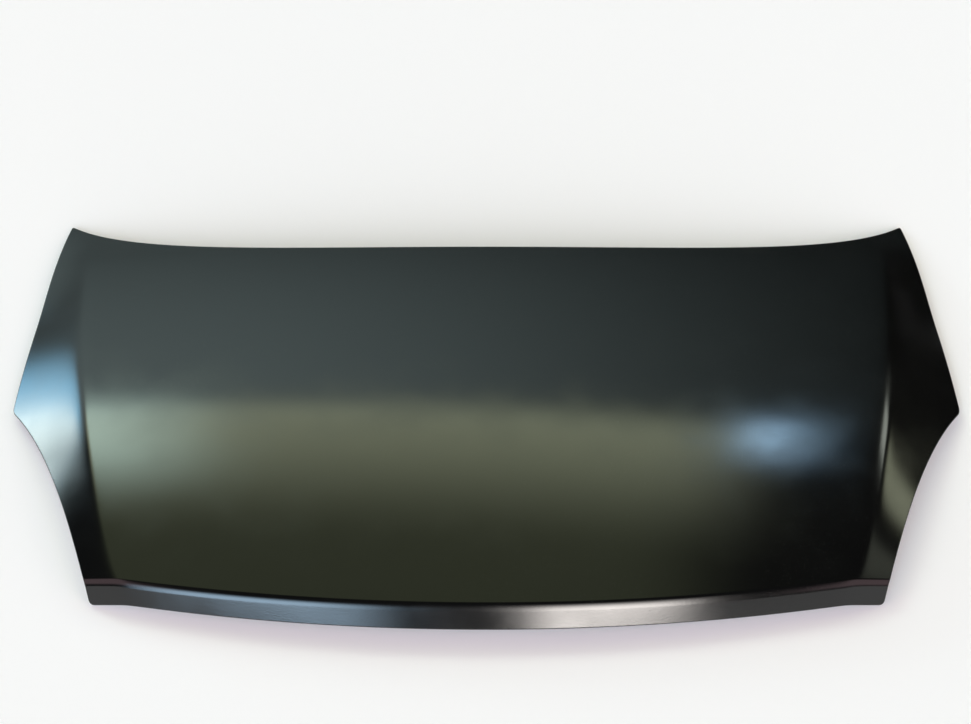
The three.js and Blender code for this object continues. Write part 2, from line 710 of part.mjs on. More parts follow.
// Pressed inner frame: hem flange, perimeter channel, ribs, opening flanges and pads
function innerFrame() {
  const sheet = newSheet();
  const below = -(SKIN_SHEET + HEM_GAP);
  const hemEdge = addLoop(sheet, edgeLoop(-HEM_FLANGE_SETBACK, below));
  const hemInner = addLoop(sheet, edgeLoop(-HEM_FLANGE_WIDTH, below - HEM_FLANGE_LEAN));
  const foot = addLoop(sheet, onSurface(channelFoot(), floorHeight));
  addBand(sheet, hemInner, hemEdge);
  addFloor(sheet, hemInner, [foot]);
  const cutouts = [
    ...Object.values(openings).map((corners) => addOpening(sheet, corners)),
    ...pads.map((pad) => addPad(sheet, pad)),
    ...floorHoles().map((hole) => addLoop(sheet, onSurface(hole, floorHeight))),
  ];
  addFloor(sheet, foot, cutouts);
  edgeFrames.forEach(({ up }, index) => sheet.offsets.set(hemEdge[index], up));
  return thickenSheet(sheet, FRAME_SHEET);
}

// Joining and cutting of closed solids
function toSolid(geometry) {
  const bare = geometry.index ? geometry.clone() : geometry;
  bare.deleteAttribute('normal');
  bare.deleteAttribute('uv');
  const merged = mergeVertices(bare, 1e-4);
  return new wasm.Manifold(new wasm.Mesh({
    numProp: 3,
    vertProperties: new Float32Array(merged.attributes.position.array),
    triVerts: new Uint32Array(merged.index.array),
  }));
}

function fromSolid(solid) {
  const mesh = solid.getMesh();
  const geometry = new THREE.BufferGeometry();
  geometry.setAttribute('position', new THREE.BufferAttribute(mesh.vertProperties, 3));
  geometry.setIndex(new THREE.BufferAttribute(mesh.triVerts, 1));
  return geometry;
}

function upright(radius, height, sides, x, y, z) {
  const geometry = new THREE.CylinderGeometry(radius, radius, height, sides);
  geometry.rotateX(Math.PI / 2);
  geometry.translate(x, y, z);
  return geometry;
}

// Channel-shaped plate on a pad: flat base with its long edges turned up, drilled for the bolts
function padPlate(pad) {
  const lengthwise = pad.length > pad.width;
  const across = (lengthwise ? pad.width : pad.length) - 2 * PLATE_MARGIN;
  const along = (lengthwise ? pad.length : pad.width) - 2 * PLATE_MARGIN;
  const half = across / 2;
  const section = new THREE.Shape([
    new THREE.Vector2(-half, PLATE_FLANGE_HEIGHT),
    new THREE.Vector2(-half, 0),
    new THREE.Vector2(half, 0),
    new THREE.Vector2(half, PLATE_FLANGE_HEIGHT),
    new THREE.Vector2(half - PLATE_THICKNESS, PLATE_FLANGE_HEIGHT),
    new THREE.Vector2(half - PLATE_THICKNESS, PLATE_THICKNESS),
    new THREE.Vector2(PLATE_THICKNESS - half, PLATE_THICKNESS),
    new THREE.Vector2(PLATE_THICKNESS - half, PLATE_FLANGE_HEIGHT),
  ]);
  const plate = new THREE.ExtrudeGeometry(section, { depth: along, bevelEnabled: false });
  plate.translate(0, 0, -along / 2);
  plate.rotateX(Math.PI / 2);
  if (!lengthwise) plate.rotateZ(Math.PI / 2);
  plate.translate(pad.x, pad.y, pad.height + SEAT_GAP);
  let solid = toSolid(plate);
  for (const { x, y } of pad.bolts) {
    const drill = upright(BOLT_HOLE_RADIUS, 4 * PLATE_THICKNESS, 16, x, y, pad.height + SEAT_GAP);
    solid = solid.subtract(toSolid(drill));
  }
  return fromSolid(solid);
}

// Hexagon nut welded on a plate
function weldNut(pad, bolt) {
  const corner = NUT_ACROSS_FLATS / Math.sqrt(3);
  const outline = new THREE.Shape(circlePlan(0, 0, corner, 6));
  outline.holes.push(new THREE.Path(circlePlan(0, 0, NUT_BORE_RADIUS, 16)));
  const nut = new THREE.ExtrudeGeometry(outline, { depth: NUT_HEIGHT, bevelEnabled: false });
  nut.translate(bolt.x, bolt.y, pad.height + 2 * SEAT_GAP + PLATE_THICKNESS);
  return nut;
}

// Hat-shaped strip glued under the skin behind the nose fold
function noseStiffener() {
  const sheet = newSheet();
  const halfCrown = STIFFENER_CROWN / 2;
  const halfWidth = halfCrown + STIFFENER_FLANGE + STIFFENER_DEPTH / 2;
  const section = [
    [halfWidth, 0],
    [halfCrown + STIFFENER_DEPTH / 2, 0],
    [halfCrown, STIFFENER_DEPTH],
    [-halfCrown, STIFFENER_DEPTH],
    [-halfCrown - STIFFENER_DEPTH / 2, 0],
    [-halfWidth, 0],
  ];
  const lines = Array.from({ length: STIFFENER_STATIONS + 1 }, (_, station) => {
    const x = mix(-STIFFENER_HALF_LENGTH, STIFFENER_HALF_LENGTH, station / STIFFENER_STATIONS);
    const middle = noseFoldY(x) + STIFFENER_SETBACK + halfWidth;
    return addLoop(sheet, section.map(([back, deep]) => {
      const y = middle + back;
      return new THREE.Vector3(x, y, skinHeight(x, y) - SKIN_SHEET - 2 * SEAT_GAP - deep);
    }));
  });
  for (let station = 0; station < STIFFENER_STATIONS; station++) {
    for (let index = 0; index < section.length - 1; index++) {
      const [from, to] = [lines[station], lines[station + 1]];
      addQuad(sheet, from[index], from[index + 1], to[index + 1], to[index]);
    }
  }
  return thickenSheet(sheet, STIFFENER_SHEET);
}

// Centres of the mastic pads of one opening, spread along its straight flanges
function masticCentres(corners) {
  const middleOfFlange = RIB_WALL_RUN + OPENING_FLANGE / 2;
  const line = insetPlan(corners, middleOfFlange);
  return line.flatMap((start, index) => {
    const end = line[(index + 1) % line.length];
    const length = start.distanceTo(end);
    const count = Math.max(1, Math.round(length / MASTIC_SPACING));
    return Array.from({ length: count }, (_, step) => {
      const fromMiddle = (step - (count - 1) / 2) * MASTIC_SPACING;
      return start.clone().lerp(end, 0.5 + fromMiddle / length);
    });
  });
}

// Blob of mastic between a flange and the skin
function masticPad(centre) {
  const sheet = newSheet();
  const rim = circlePlan(centre.x, centre.y, MASTIC_RADIUS, MASTIC_SIDES);
  const top = (x, y) => skinHeight(x, y) - SKIN_SHEET - MASTIC_CLEARANCE;
  const loop = addLoop(sheet, onSurface(rim, top));
  addFloor(sheet, loop, []);
  for (const index of loop) sheet.offsets.set(index, new THREE.Vector3(0, 0, 1));
  return thickenSheet(sheet, MASTIC_GAP - 2 * MASTIC_CLEARANCE);
}

// Black electrocoat primer on pressed steel
function primedSteel() {
  return new THREE.MeshStandardMaterial({ color: 0x1c1f1f, roughness: 0.3, metalness: 0.1 });
}

// The same primer on thick plate, a little rougher
function primedPlate() {
  return new THREE.MeshStandardMaterial({ color: 0x202322, roughness: 0.45, metalness: 0.1 });
}

function zincSteel() {
  return new THREE.MeshStandardMaterial({ color: 0x9a9c98, roughness: 0.4, metalness: 0.9 });
}

function masticRubber() {
  return new THREE.MeshStandardMaterial({ color: 0x4a4c4a, roughness: 0.85, metalness: 0 });
}

const bonnet = new THREE.Group();

function addPiece(name, geometry, material) {
  const mesh = new THREE.Mesh(geometry, material);
  mesh.name = name;
  bonnet.add(mesh);
}

addPiece('outer_skin', outerSkin(), primedSteel());
addPiece('inner_frame', innerFrame(), primedSteel());
for (const pad of pads) {
  addPiece(`${pad.name}_reinforcement`, padPlate(pad), primedPlate());
  pad.bolts.forEach((bolt, index) => {
    addPiece(`${pad.name}_nut_${index + 1}`, weldNut(pad, bolt), zincSteel());
  });
}
addPiece('nose_stiffener', noseStiffener(), primedSteel());
for (const [bay, corners] of Object.entries(openings)) {
  masticCentres(corners).forEach((centre, index) => {
    addPiece(`mastic_${bay}_${index + 1}`, masticPad(centre), masticRubber());
  });
}

// The origin is on the ground under the middle of the footprint
const footprint = new THREE.Box3().setFromObject(bonnet, true);
const middle = footprint.getCenter(new THREE.Vector3());
bonnet.position.set(-middle.x, -middle.y, -footprint.min.z);

export default bonnet;
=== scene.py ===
import bpy
import numpy as np
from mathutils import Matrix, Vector
from mathutils.geometry import delaunay_2d_cdt


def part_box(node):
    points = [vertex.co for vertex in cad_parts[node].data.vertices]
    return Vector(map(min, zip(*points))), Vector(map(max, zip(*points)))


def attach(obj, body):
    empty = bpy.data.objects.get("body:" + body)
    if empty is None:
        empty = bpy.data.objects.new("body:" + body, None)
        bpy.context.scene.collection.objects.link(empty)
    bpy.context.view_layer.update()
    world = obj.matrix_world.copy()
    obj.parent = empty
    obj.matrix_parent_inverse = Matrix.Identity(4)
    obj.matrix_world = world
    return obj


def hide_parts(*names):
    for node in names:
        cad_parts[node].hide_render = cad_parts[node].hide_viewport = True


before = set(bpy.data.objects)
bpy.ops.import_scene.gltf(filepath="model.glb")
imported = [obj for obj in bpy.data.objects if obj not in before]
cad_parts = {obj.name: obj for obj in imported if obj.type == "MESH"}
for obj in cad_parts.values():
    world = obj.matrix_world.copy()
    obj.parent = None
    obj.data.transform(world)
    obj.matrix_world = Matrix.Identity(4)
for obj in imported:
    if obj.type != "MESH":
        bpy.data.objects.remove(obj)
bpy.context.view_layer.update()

# Camera.
# It stands in front of the nose at a grown person's eye height and looks down on the bonnet, as in the
# photograph. Metres, and millimetres for the lens.
CAMERA_PLACE = (-0.0015, -1.77657, 1.61664)
CAMERA_AIM = (0, 0.757634, -0.652680)
CAMERA_LENS = 60.23

camera = bpy.data.objects.new("camera", bpy.data.cameras.new("camera"))
camera.data.lens = CAMERA_LENS
camera.location = CAMERA_PLACE
camera.rotation_euler = Vector(CAMERA_AIM).to_track_quat("-Z", "Y").to_euler()
bpy.context.scene.collection.objects.link(camera)
bpy.context.scene.camera = camera
bpy.context.scene.view_settings.view_transform = "Standard"

# Outer skin.
# One sheet of steel 0.75 mm thick, pressed to a crowned shape with a crease along each side and a lip at the
# nose. Its edge is folded back on itself all round, around the edge of the inner frame (a hem).
CREASE_REAR_X = 0.652
CREASE_REAR_ANGLE = 84             # degrees from +X, as all the angles of the plan
CREASE_REAR_REACH = 0.240
CREASE_NOSE_X = 0.474
CREASE_NOSE_ANGLE = 65.4
CREASE_NOSE_REACH = 0.200
CREASE_SOFTNESS = 0.008
FLANK_SLOPE = 0.45
FLANK_NOSE_SLOPE = 0.25
FLANK_EASE_Y = -0.150
FLANK_EASE_LENGTH = 0.220
FLANK_START_Y = 0.441
FLANK_GROWTH = 0.290
REAR_MIDDLE_Y = 0.304
REAR_CORNER = np.array([0.695, 0.441])
REAR_CORNER_ANGLE = 45
REAR_CORNER_REACH = 0.163
REAR_MIDDLE_REACH = 0.373
TIP = np.array([0.691, -0.027])
TIP_ROUNDING = 0.012               # share of the side that the rounding of the tip takes, each way
SIDE_BOW = 0.0015
LAMP_TIP_ANGLE = 53.6
LAMP_TIP_REACH = 0.110
LAMP_NOSE_ANGLE = 69.1
LAMP_NOSE_REACH = 0.145
NOSE_FOLD_Y = -0.4235
NOSE_FOLD_RADIUS = 2.350
NOSE_CORNER_X = 0.522
REAR_HEIGHT = 0.066
REAR_RISE = 0.2
NOSE_HEIGHT = 0.052
NOSE_FALL = 0.27
REAR_CROWN_RADIUS = 7.0
NOSE_CROWN_RADIUS = 5.2
LIP_RADIUS = 0.0099                # tighter than the solid's lip, and down to the same lower edge
LIP_TURN = np.radians(61)
LIP_STRAIGHT = 0.02205
LIP_LENGTH = LIP_RADIUS * LIP_TURN + LIP_STRAIGHT
REAR_ROUNDING = 0.003
LIP_ROUNDING = 0.005
SKIN_SHEET = 0.00075
FRAME_SHEET = 0.00065
HEM_GAP = 0.0005
HEM_HEIGHT = 2 * SKIN_SHEET + FRAME_SHEET + 2 * HEM_GAP
HEM_RETURN = 0.009
HEM_STEPS = 8
REAR_EASE = 0.15                   # share of the length over which the rear edge's inset dies away
NOSE_EASE = 0.2
CURVE_SAMPLES = 2001
CREASE_EXTENSION = 0.2
SIDE_SAMPLES = 400
LIP_SAMPLES = 40
SMALL_STEP = 1e-3                  # of across and along, to read off slopes
FOOTPRINT_SHIFT = np.array([0, -0.0006085, 0.0010428])   # from the drawing's origin to the part's


def mix(start, end, share):
    """Straight blend: start at share 0 and end at share 1."""
    return start + (end - start) * share


def smoothstep(value):
    """3 t^2 - 2 t^3 for t limited to 0..1."""
    t = np.clip(value, 0, 1)
    return t * t * (3 - 2 * t)


def eased(steps):
    """Shares 0..1 packed towards both ends: half of 1 - cos(pi s)."""
    return 0.5 - 0.5 * np.cos(np.pi * np.linspace(0, 1, steps + 1))


def heading(degrees, distance):
    """Plan vector of a length in a direction counted from +X."""
    return np.array([np.cos(np.radians(degrees)), np.sin(np.radians(degrees))]) * distance


def bezier(ends, share):
    """Cubic Bezier of four plan points, weighted (1-s)^3, 3(1-s)^2 s, 3(1-s) s^2 and s^3."""
    s = np.asarray(share, float)[..., None]
    start, start_pull, end_pull, end = ends
    return (
        (1 - s) ** 3 * start + 3 * (1 - s) ** 2 * s * start_pull
        + 3 * (1 - s) * s**2 * end_pull + s**3 * end
    )


rear_middle = np.array([0, REAR_MIDDLE_Y])
REAR_EDGE = (
    rear_middle,
    rear_middle + [REAR_MIDDLE_REACH, 0],
    REAR_CORNER - heading(REAR_CORNER_ANGLE, REAR_CORNER_REACH),
    REAR_CORNER,
)
rear_samples = bezier(REAR_EDGE, np.linspace(0, 1, CURVE_SAMPLES))


def rear_edge_y(x):
    """Windscreen edge, read off its sampled curve."""
    return np.interp(np.abs(x), rear_samples[:, 0], rear_samples[:, 1])


def nose_fold_y(x):
    """Nose fold: a circle about a point on the centre line."""
    return NOSE_FOLD_Y + NOSE_FOLD_RADIUS - np.sqrt(NOSE_FOLD_RADIUS**2 - x**2)


nose_corner = np.array([NOSE_CORNER_X, nose_fold_y(NOSE_CORNER_X)])
LAMP_EDGE = (
    TIP,
    TIP - heading(LAMP_TIP_ANGLE, LAMP_TIP_REACH),
    nose_corner + heading(LAMP_NOSE_ANGLE, LAMP_NOSE_REACH),
    nose_corner,
)
crease_rear = np.array([CREASE_REAR_X, rear_edge_y(CREASE_REAR_X)])
crease_nose = np.array([CREASE_NOSE_X, nose_fold_y(CREASE_NOSE_X)])
CREASE = (
    crease_rear,
    crease_rear - heading(CREASE_REAR_ANGLE, CREASE_REAR_REACH),
    crease_nose + heading(CREASE_NOSE_ANGLE, CREASE_NOSE_REACH),
    crease_nose,
)
crease_samples = np.concatenate([
    [crease_nose - heading(CREASE_NOSE_ANGLE, CREASE_EXTENSION)],
    bezier(CREASE, np.linspace(1, 0, CURVE_SAMPLES)),
    [crease_rear + heading(CREASE_REAR_ANGLE, CREASE_EXTENSION)],
])


def crease_x(y):
    """Crease, read off its sampled curve and straight on past its ends."""
    return np.interp(y, crease_samples[:, 1], crease_samples[:, 0])


TIP_SHARE = (REAR_CORNER[1] - TIP[1]) / (REAR_CORNER[1] - nose_corner[1])
LIP_TAPER = 1 / (np.tan(np.radians(LAMP_NOSE_ANGLE)) * NOSE_CORNER_X)


def sharp_side(share):
    """Side edge with a parabolic bow, then the headlamp edge's Bezier, meeting in a corner at the tip."""
    along = np.clip(share / TIP_SHARE, 0, 1)[..., None]
    side = mix(REAR_CORNER, TIP, along) + np.array([SIDE_BOW, 0]) * 4 * along * (1 - along)
    lamp = bezier(LAMP_EDGE, np.clip((share - TIP_SHARE) / (1 - TIP_SHARE), 0, 1))
    return np.where((share < TIP_SHARE)[..., None], side, lamp)


def side_point(share):
    """The same line, its corner replaced by a quadratic Bezier from one side of the tip to the other."""
    share = np.asarray(share, float)
    t = np.clip((share - TIP_SHARE) / (2 * TIP_ROUNDING) + 0.5, 0, 1)[..., None]
    start = sharp_side(np.array(TIP_SHARE - TIP_ROUNDING))
    end = sharp_side(np.array(TIP_SHARE + TIP_ROUNDING))
    rounded = (1 - t) ** 2 * start + 2 * (1 - t) * t * TIP + t**2 * end
    return np.where((np.abs(share - TIP_SHARE) < TIP_ROUNDING)[..., None], rounded, sharp_side(share))


def skin_plan(across, along):
    """Plan of the skin as Coons patches between its edges and its creases.

    across is 0 on the centre line, 1 on the +X crease and 2 on the +X edge, and negative towards -X.
    along is 0 at the windscreen edge and 1 at the nose fold."""
    out = np.abs(across)
    middle = np.minimum(out, 1)
    flank = np.maximum(out - 1, 0)
    crease = bezier(CREASE, along)
    side = side_point(along)
    rear_y = rear_edge_y(middle * CREASE_REAR_X + flank * (REAR_CORNER[0] - CREASE_REAR_X))
    nose_y = nose_fold_y(middle * CREASE_NOSE_X + flank * (NOSE_CORNER_X - CREASE_NOSE_X))
    crease_bend = crease[..., 1] - mix(crease_rear[1], crease_nose[1], along)
    side_bend = side[..., 1] - mix(REAR_CORNER[1], nose_corner[1], along)
    x = mix(middle * crease[..., 0], side[..., 0], flank)
    y = mix(rear_y, nose_y, along) + mix(middle * crease_bend, side_bend, flank)
    return np.sign(across) * x, y


def skin_height(x, y):
    """Height of the skin: a cubic ridge line lengthwise, less a parabolic crown, less the fall of the flank.

    The flank falls by a slope times (d + sqrt(d^2 + softness^2)) / 2, where d is the distance outside
    the crease."""
    length = REAR_MIDDLE_Y - NOSE_FOLD_Y
    share = (REAR_MIDDLE_Y - y) / length
    s = np.clip(share, 0, 1)
    ridge = (
        REAR_HEIGHT * (2 * s**3 - 3 * s**2 + 1)
        + NOSE_HEIGHT * (3 * s**2 - 2 * s**3)
        + length * REAR_RISE * (s**3 - 2 * s**2 + s)
        - length * NOSE_FALL * (s**3 - s**2)
        + np.minimum(share, 0) * length * REAR_RISE
        - np.maximum(share - 1, 0) * length * NOSE_FALL
    )
    crown = mix(1 / REAR_CROWN_RADIUS, 1 / NOSE_CROWN_RADIUS, s)
    outside = np.abs(x) - crease_x(y)
    fall = (outside + np.hypot(outside, CREASE_SOFTNESS)) / 2
    ease = smoothstep((FLANK_EASE_Y - y) / FLANK_EASE_LENGTH)
    slope = mix(FLANK_SLOPE, FLANK_NOSE_SLOPE, ease) * smoothstep((FLANK_START_Y - y) / FLANK_GROWTH)
    return ridge - crown * x**2 / 2 - slope * fall


def skin_point(across, along):
    """Point of the skin's outer face. along runs on from 1 at the nose fold to 2 at the lip's lower edge.

    The lip is an arc and then a straight line: it runs forward and drops, and narrows as it goes."""
    x, y = skin_plan(across, np.minimum(along, 1))
    lip = np.maximum(along - 1, 0) * LIP_LENGTH
    turn = np.minimum(lip / LIP_RADIUS, LIP_TURN)
    straight = np.maximum(lip - LIP_RADIUS * LIP_TURN, 0)
    run = LIP_RADIUS * np.sin(turn) + straight * np.cos(LIP_TURN)
    drop = LIP_RADIUS * (1 - np.cos(turn)) + straight * np.sin(LIP_TURN)
    x = x * (1 - run * LIP_TAPER)
    y = y - run
    return np.stack([x, y, skin_height(x, y) - drop], -1)


def skin_normal(across, along):
    """Upward unit normal of the skin: the cross product of the steps across and back along it."""
    back, forward = np.clip(along - SMALL_STEP, 0, 2), np.clip(along + SMALL_STEP, 0, 2)
    sideways = skin_point(across + SMALL_STEP, along) - skin_point(across - SMALL_STEP, along)
    lengthwise = skin_point(across, back) - skin_point(across, forward)
    normal = np.cross(sideways, lengthwise)
    return normal / np.linalg.norm(normal, axis=-1, keepdims=True)


def edge_rate(across, along, step_across, step_along):
    """Metres square to an edge line per unit of the parameter that leads inwards from it."""
    line = skin_point(across, along)
    beside = skin_point(across + step_across, along + step_along)
    tangent = np.gradient(line, axis=0)
    tangent /= np.linalg.norm(tangent, axis=1, keepdims=True)
    return np.linalg.norm(np.cross(beside - line, tangent), axis=1) / SMALL_STEP


side_shares = np.concatenate([
    np.linspace(0, 1, SIDE_SAMPLES, endpoint=False), np.linspace(1, 2, LIP_SAMPLES)
])
side_scale = edge_rate(np.full_like(side_shares, 2), side_shares, -SMALL_STEP, 0)
end_shares = np.linspace(0, 2, SIDE_SAMPLES)
rear_scale = edge_rate(end_shares, np.zeros_like(end_shares), 0, SMALL_STEP)
nose_scale = edge_rate(end_shares, np.ones_like(end_shares), 0, -SMALL_STEP)


def round_corner(out, along, side_limit, per_side, end_limit, per_end, radius):
    """Rounds the corner where the side's limit and an end's limit meet. per_end is negative for the nose.

    Where both distances from the limits are under the radius, the point is drawn towards (radius, radius)
    by the larger of its two offsets over the length of them."""
    first, second = (side_limit - out) * per_side, (along - end_limit) * per_end
    a = np.maximum(radius - first, 0)
    b = np.maximum(radius - second, 0)
    corner = (a > 0) & (b > 0)
    share = np.maximum(a, b) / np.maximum(np.hypot(a, b), 1e-12)
    first = np.where(corner, radius - a * share, first)
    second = np.where(corner, radius - b * share, second)
    return side_limit - first / per_side, end_limit + second / per_end


def inset(across, along, distance, rear_radius=0.0, lip_radius=0.0):
    """Moves points of the edge inwards over the skin by a distance, and then rounds the corners."""
    out = np.abs(across)
    per_side = np.interp(along, side_shares, side_scale)
    per_rear = np.interp(out, end_shares, rear_scale)
    side_limit = 2 - distance / per_side
    rear_limit = distance / per_rear
    lip_limit = 2 - distance / LIP_LENGTH
    out = out - np.clip(out - 1, 0, 1) * (2 - side_limit)
    rear_shift = rear_limit * np.clip(1 - along / REAR_EASE, 0, 1)
    along = along + rear_shift - np.clip(along - 1, 0, 1) * (2 - lip_limit)
    if rear_radius:
        out, along = round_corner(out, along, side_limit, per_side, rear_limit, per_rear, rear_radius)
    if lip_radius:
        out, along = round_corner(out, along, side_limit, per_side, lip_limit, -LIP_LENGTH, lip_radius)
    return np.sign(across) * out, along


def inside(places, starts, ends):
    """Even-odd test: the ray from a place towards +X crosses an odd number of the edges."""
    x, y = places[:, :1], places[:, 1:]
    run, rise = (ends - starts).T
    crosses = (starts[:, 1] > y) != (ends[:, 1] > y)
    crossing_x = starts[:, 0] + (y - starts[:, 1]) * run / np.where(rise == 0, 1, rise)
    return np.sum(crosses & (crossing_x > x), axis=1) % 2 == 1


class Sheet:
    """Points and faces of one pressed sheet, gathered grid by grid and loop by loop."""

    def __init__(self):
        self.points, self.faces, self.count = [], [], 0

    def add(self, points):
        """Adds an array of points and gives their numbers in the same layout."""
        flat = points.reshape(-1, 3)
        self.points.append(flat)
        self.count += len(flat)
        return np.arange(self.count - len(flat), self.count).reshape(points.shape[:-1])

    def quads(self, a, b, c, d):
        self.faces.extend(np.stack([a, b, c, d], -1).reshape(-1, 4).tolist())

    def grid(self, rows):
        """Faces of a grid of numbers whose rows run from left to right and follow one another forwards."""
        self.quads(rows[:-1, :-1], rows[1:, :-1], rows[1:, 1:], rows[:-1, 1:])

    def band(self, inner, outer):
        """Faces between two closed loops that run anticlockwise seen from their front."""
        self.quads(inner, outer, np.roll(outer, -1), np.roll(inner, -1))

    def cone(self, tip, loop):
        """Faces between a point and a closed loop around it, anticlockwise seen from their front."""
        self.faces.extend(np.stack([np.full(len(loop), tip), loop, np.roll(loop, -1)], -1).tolist())

    def fill(self, outline, holes, spacing, height):
        """Fills a closed loop around closed holes with triangles, over a grid of inner points in plan.

        Constrained Delaunay triangles, kept where their middle is inside by the even-odd rule."""
        loops = [outline, *holes]
        spacing = np.broadcast_to(spacing, 2)
        plan = np.concatenate(self.points)[:, :2]
        starts = np.concatenate(loops)
        ends = np.concatenate([np.roll(loop, -1) for loop in loops])
        low, high = plan[starts].min(axis=0), plan[starts].max(axis=0)
        lines = [np.arange(low[axis] + spacing[axis] / 2, high[axis], spacing[axis]) for axis in (0, 1)]
        inner = np.stack(np.meshgrid(*lines), -1).reshape(-1, 2)
        inner = inner[inside(inner, plan[starts], plan[ends])]
        distance = np.hypot(*((inner[:, None] - plan[starts]) / spacing).transpose(2, 0, 1)).min(axis=1)
        inner = inner[distance > 0.5]
        inner_numbers = self.add(np.column_stack([inner, height(*inner.T)]))
        numbers = np.concatenate([starts, inner_numbers])
        firsts = np.arange(len(starts))
        nexts = np.concatenate([np.roll(np.arange(len(loop)), -1) for loop in loops])
        nexts += np.repeat(np.cumsum([0] + [len(loop) for loop in loops[:-1]]), [len(loop) for loop in loops])
        places = np.concatenate([plan[starts], inner])
        edges = np.stack([firsts, nexts], -1).tolist()
        found = delaunay_2d_cdt(places.tolist(), edges, [], 0, 1e-7, True)
        sources = np.array([origin[0] for origin in found[3]])
        triangles = sources[np.array(found[2])]
        kept = inside(places[triangles].mean(axis=1), plan[starts], plan[ends])
        self.faces.extend(numbers[triangles[kept]].tolist())


def finish_piece(name, sheet, material, nodes, thickness=0.0):
    """Makes a piece's object from a sheet, thickened behind its face, on the root body, and hides the parts
    it replaces.
    """
    mesh = bpy.data.meshes.new(name)
    points = np.concatenate(sheet.points) + FOOTPRINT_SHIFT
    mesh.from_pydata(points.tolist(), [], sheet.faces)
    mesh.polygons.foreach_set("use_smooth", np.full(len(mesh.polygons), True))
    mesh.materials.append(material)
    mesh.update()
    piece = bpy.data.objects.new(name, mesh)
    bpy.context.scene.collection.objects.link(piece)
    if thickness:
        wall = piece.modifiers.new("sheet thickness", "SOLIDIFY")
        wall.thickness = thickness
        wall.offset = -1
    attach(piece, "root")
    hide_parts(*nodes)


def new_material(name):
    """Node material. Gives itself, its node tree and its Principled shader."""
    material = bpy.data.materials.new(name)
    material.use_nodes = True
    shader = material.node_tree.nodes["Principled BSDF"]
    return material, material.node_tree, shader


def noise_node(tree, place, scale, detail, stretch=(1, 1, 1)):
    """Noise on a place stretched along the axes: fewer changes along an axis with a small number."""
    mapping = tree.nodes.new("ShaderNodeMapping")
    mapping.inputs["Scale"].default_value = stretch
    tree.links.new(place, mapping.inputs["Vector"])
    noise = tree.nodes.new("ShaderNodeTexNoise")
    noise.inputs["Scale"].default_value = scale
    noise.inputs["Detail"].default_value = detail
    tree.links.new(mapping.outputs["Vector"], noise.inputs["Vector"])
    return noise.outputs["Fac"]


def math_node(tree, operation, *values):
    """Math node whose inputs are numbers or sockets."""
    node = tree.nodes.new("ShaderNodeMath")
    node.operation = operation
    for socket, value in zip(node.inputs, values):
        if isinstance(value, (int, float)):
            socket.default_value = value
        else:
            tree.links.new(value, socket)
    return node.outputs[0]


def ranged(tree, value, low, high, start=0.0, end=1.0):
    """Map Range node: low becomes start and high becomes end, smoothly and limited."""
    node = tree.nodes.new("ShaderNodeMapRange")
    node.interpolation_type = "SMOOTHSTEP"
    tree.links.new(value, node.inputs["Value"])
    for label, number in zip(("From Min", "From Max", "To Min", "To Max"), (low, high, start, end)):
        node.inputs[label].default_value = number
    return node.outputs["Result"]


def tint(tree, shader, share, first, second):
    """Blends the base colour from the first to the second by a share."""
    blend = tree.nodes.new("ShaderNodeMix")
    blend.data_type = "RGBA"
    blend.inputs["A"].default_value = (*first, 1)
    blend.inputs["B"].default_value = (*second, 1)
    tree.links.new(share, blend.inputs["Factor"])
    tree.links.new(blend.outputs["Result"], shader.inputs["Base Color"])


def emboss(tree, shader, height, strength, distance):
    """Bump from a height of 0..1 times a distance."""
    bump = tree.nodes.new("ShaderNodeBump")
    bump.inputs["Strength"].default_value = strength
    bump.inputs["Distance"].default_value = distance
    tree.links.new(height, bump.inputs["Height"])
    tree.links.new(bump.outputs["Normal"], shader.inputs["Normal"])


# Electrocoat primer: a dipped film with a faint orange peel, long soft waves of the pressing, and dust specks
FILM_DEPTH = 0.0001
DUST_ROUGHNESS = 0.3
film_group = bpy.data.node_groups.new("electrocoat film", "ShaderNodeTree")
film_group.interface.new_socket("Place", in_out="INPUT", socket_type="NodeSocketVector")
for label in ("Peel", "Waves"):
    film_group.interface.new_socket(label, in_out="INPUT", socket_type="NodeSocketFloat")
for label in ("Height", "Gloss loss", "Dust"):
    film_group.interface.new_socket(label, in_out="OUTPUT", socket_type="NodeSocketFloat")
group_in = film_group.nodes.new("NodeGroupInput")
group_out = film_group.nodes.new("NodeGroupOutput")
place = group_in.outputs["Place"]
peel = math_node(film_group, "MULTIPLY", noise_node(film_group, place, 420, 2), group_in.outputs["Peel"])
waves = math_node(
    film_group, "MULTIPLY", noise_node(film_group, place, 9, 2, (1, 0.35, 1)), group_in.outputs["Waves"]
)
film_group.links.new(math_node(film_group, "ADD", peel, waves), group_out.inputs["Height"])
clouds = ranged(film_group, noise_node(film_group, place, 14, 4), 0.35, 0.75)
film_group.links.new(clouds, group_out.inputs["Gloss loss"])
specks = ranged(film_group, noise_node(film_group, place, 900, 1), 0.71, 0.78)
patches = ranged(film_group, noise_node(film_group, place, 6, 3), 0.45, 0.7, 0.25, 1.0)
film_group.links.new(math_node(film_group, "MULTIPLY", specks, patches), group_out.inputs["Dust"])


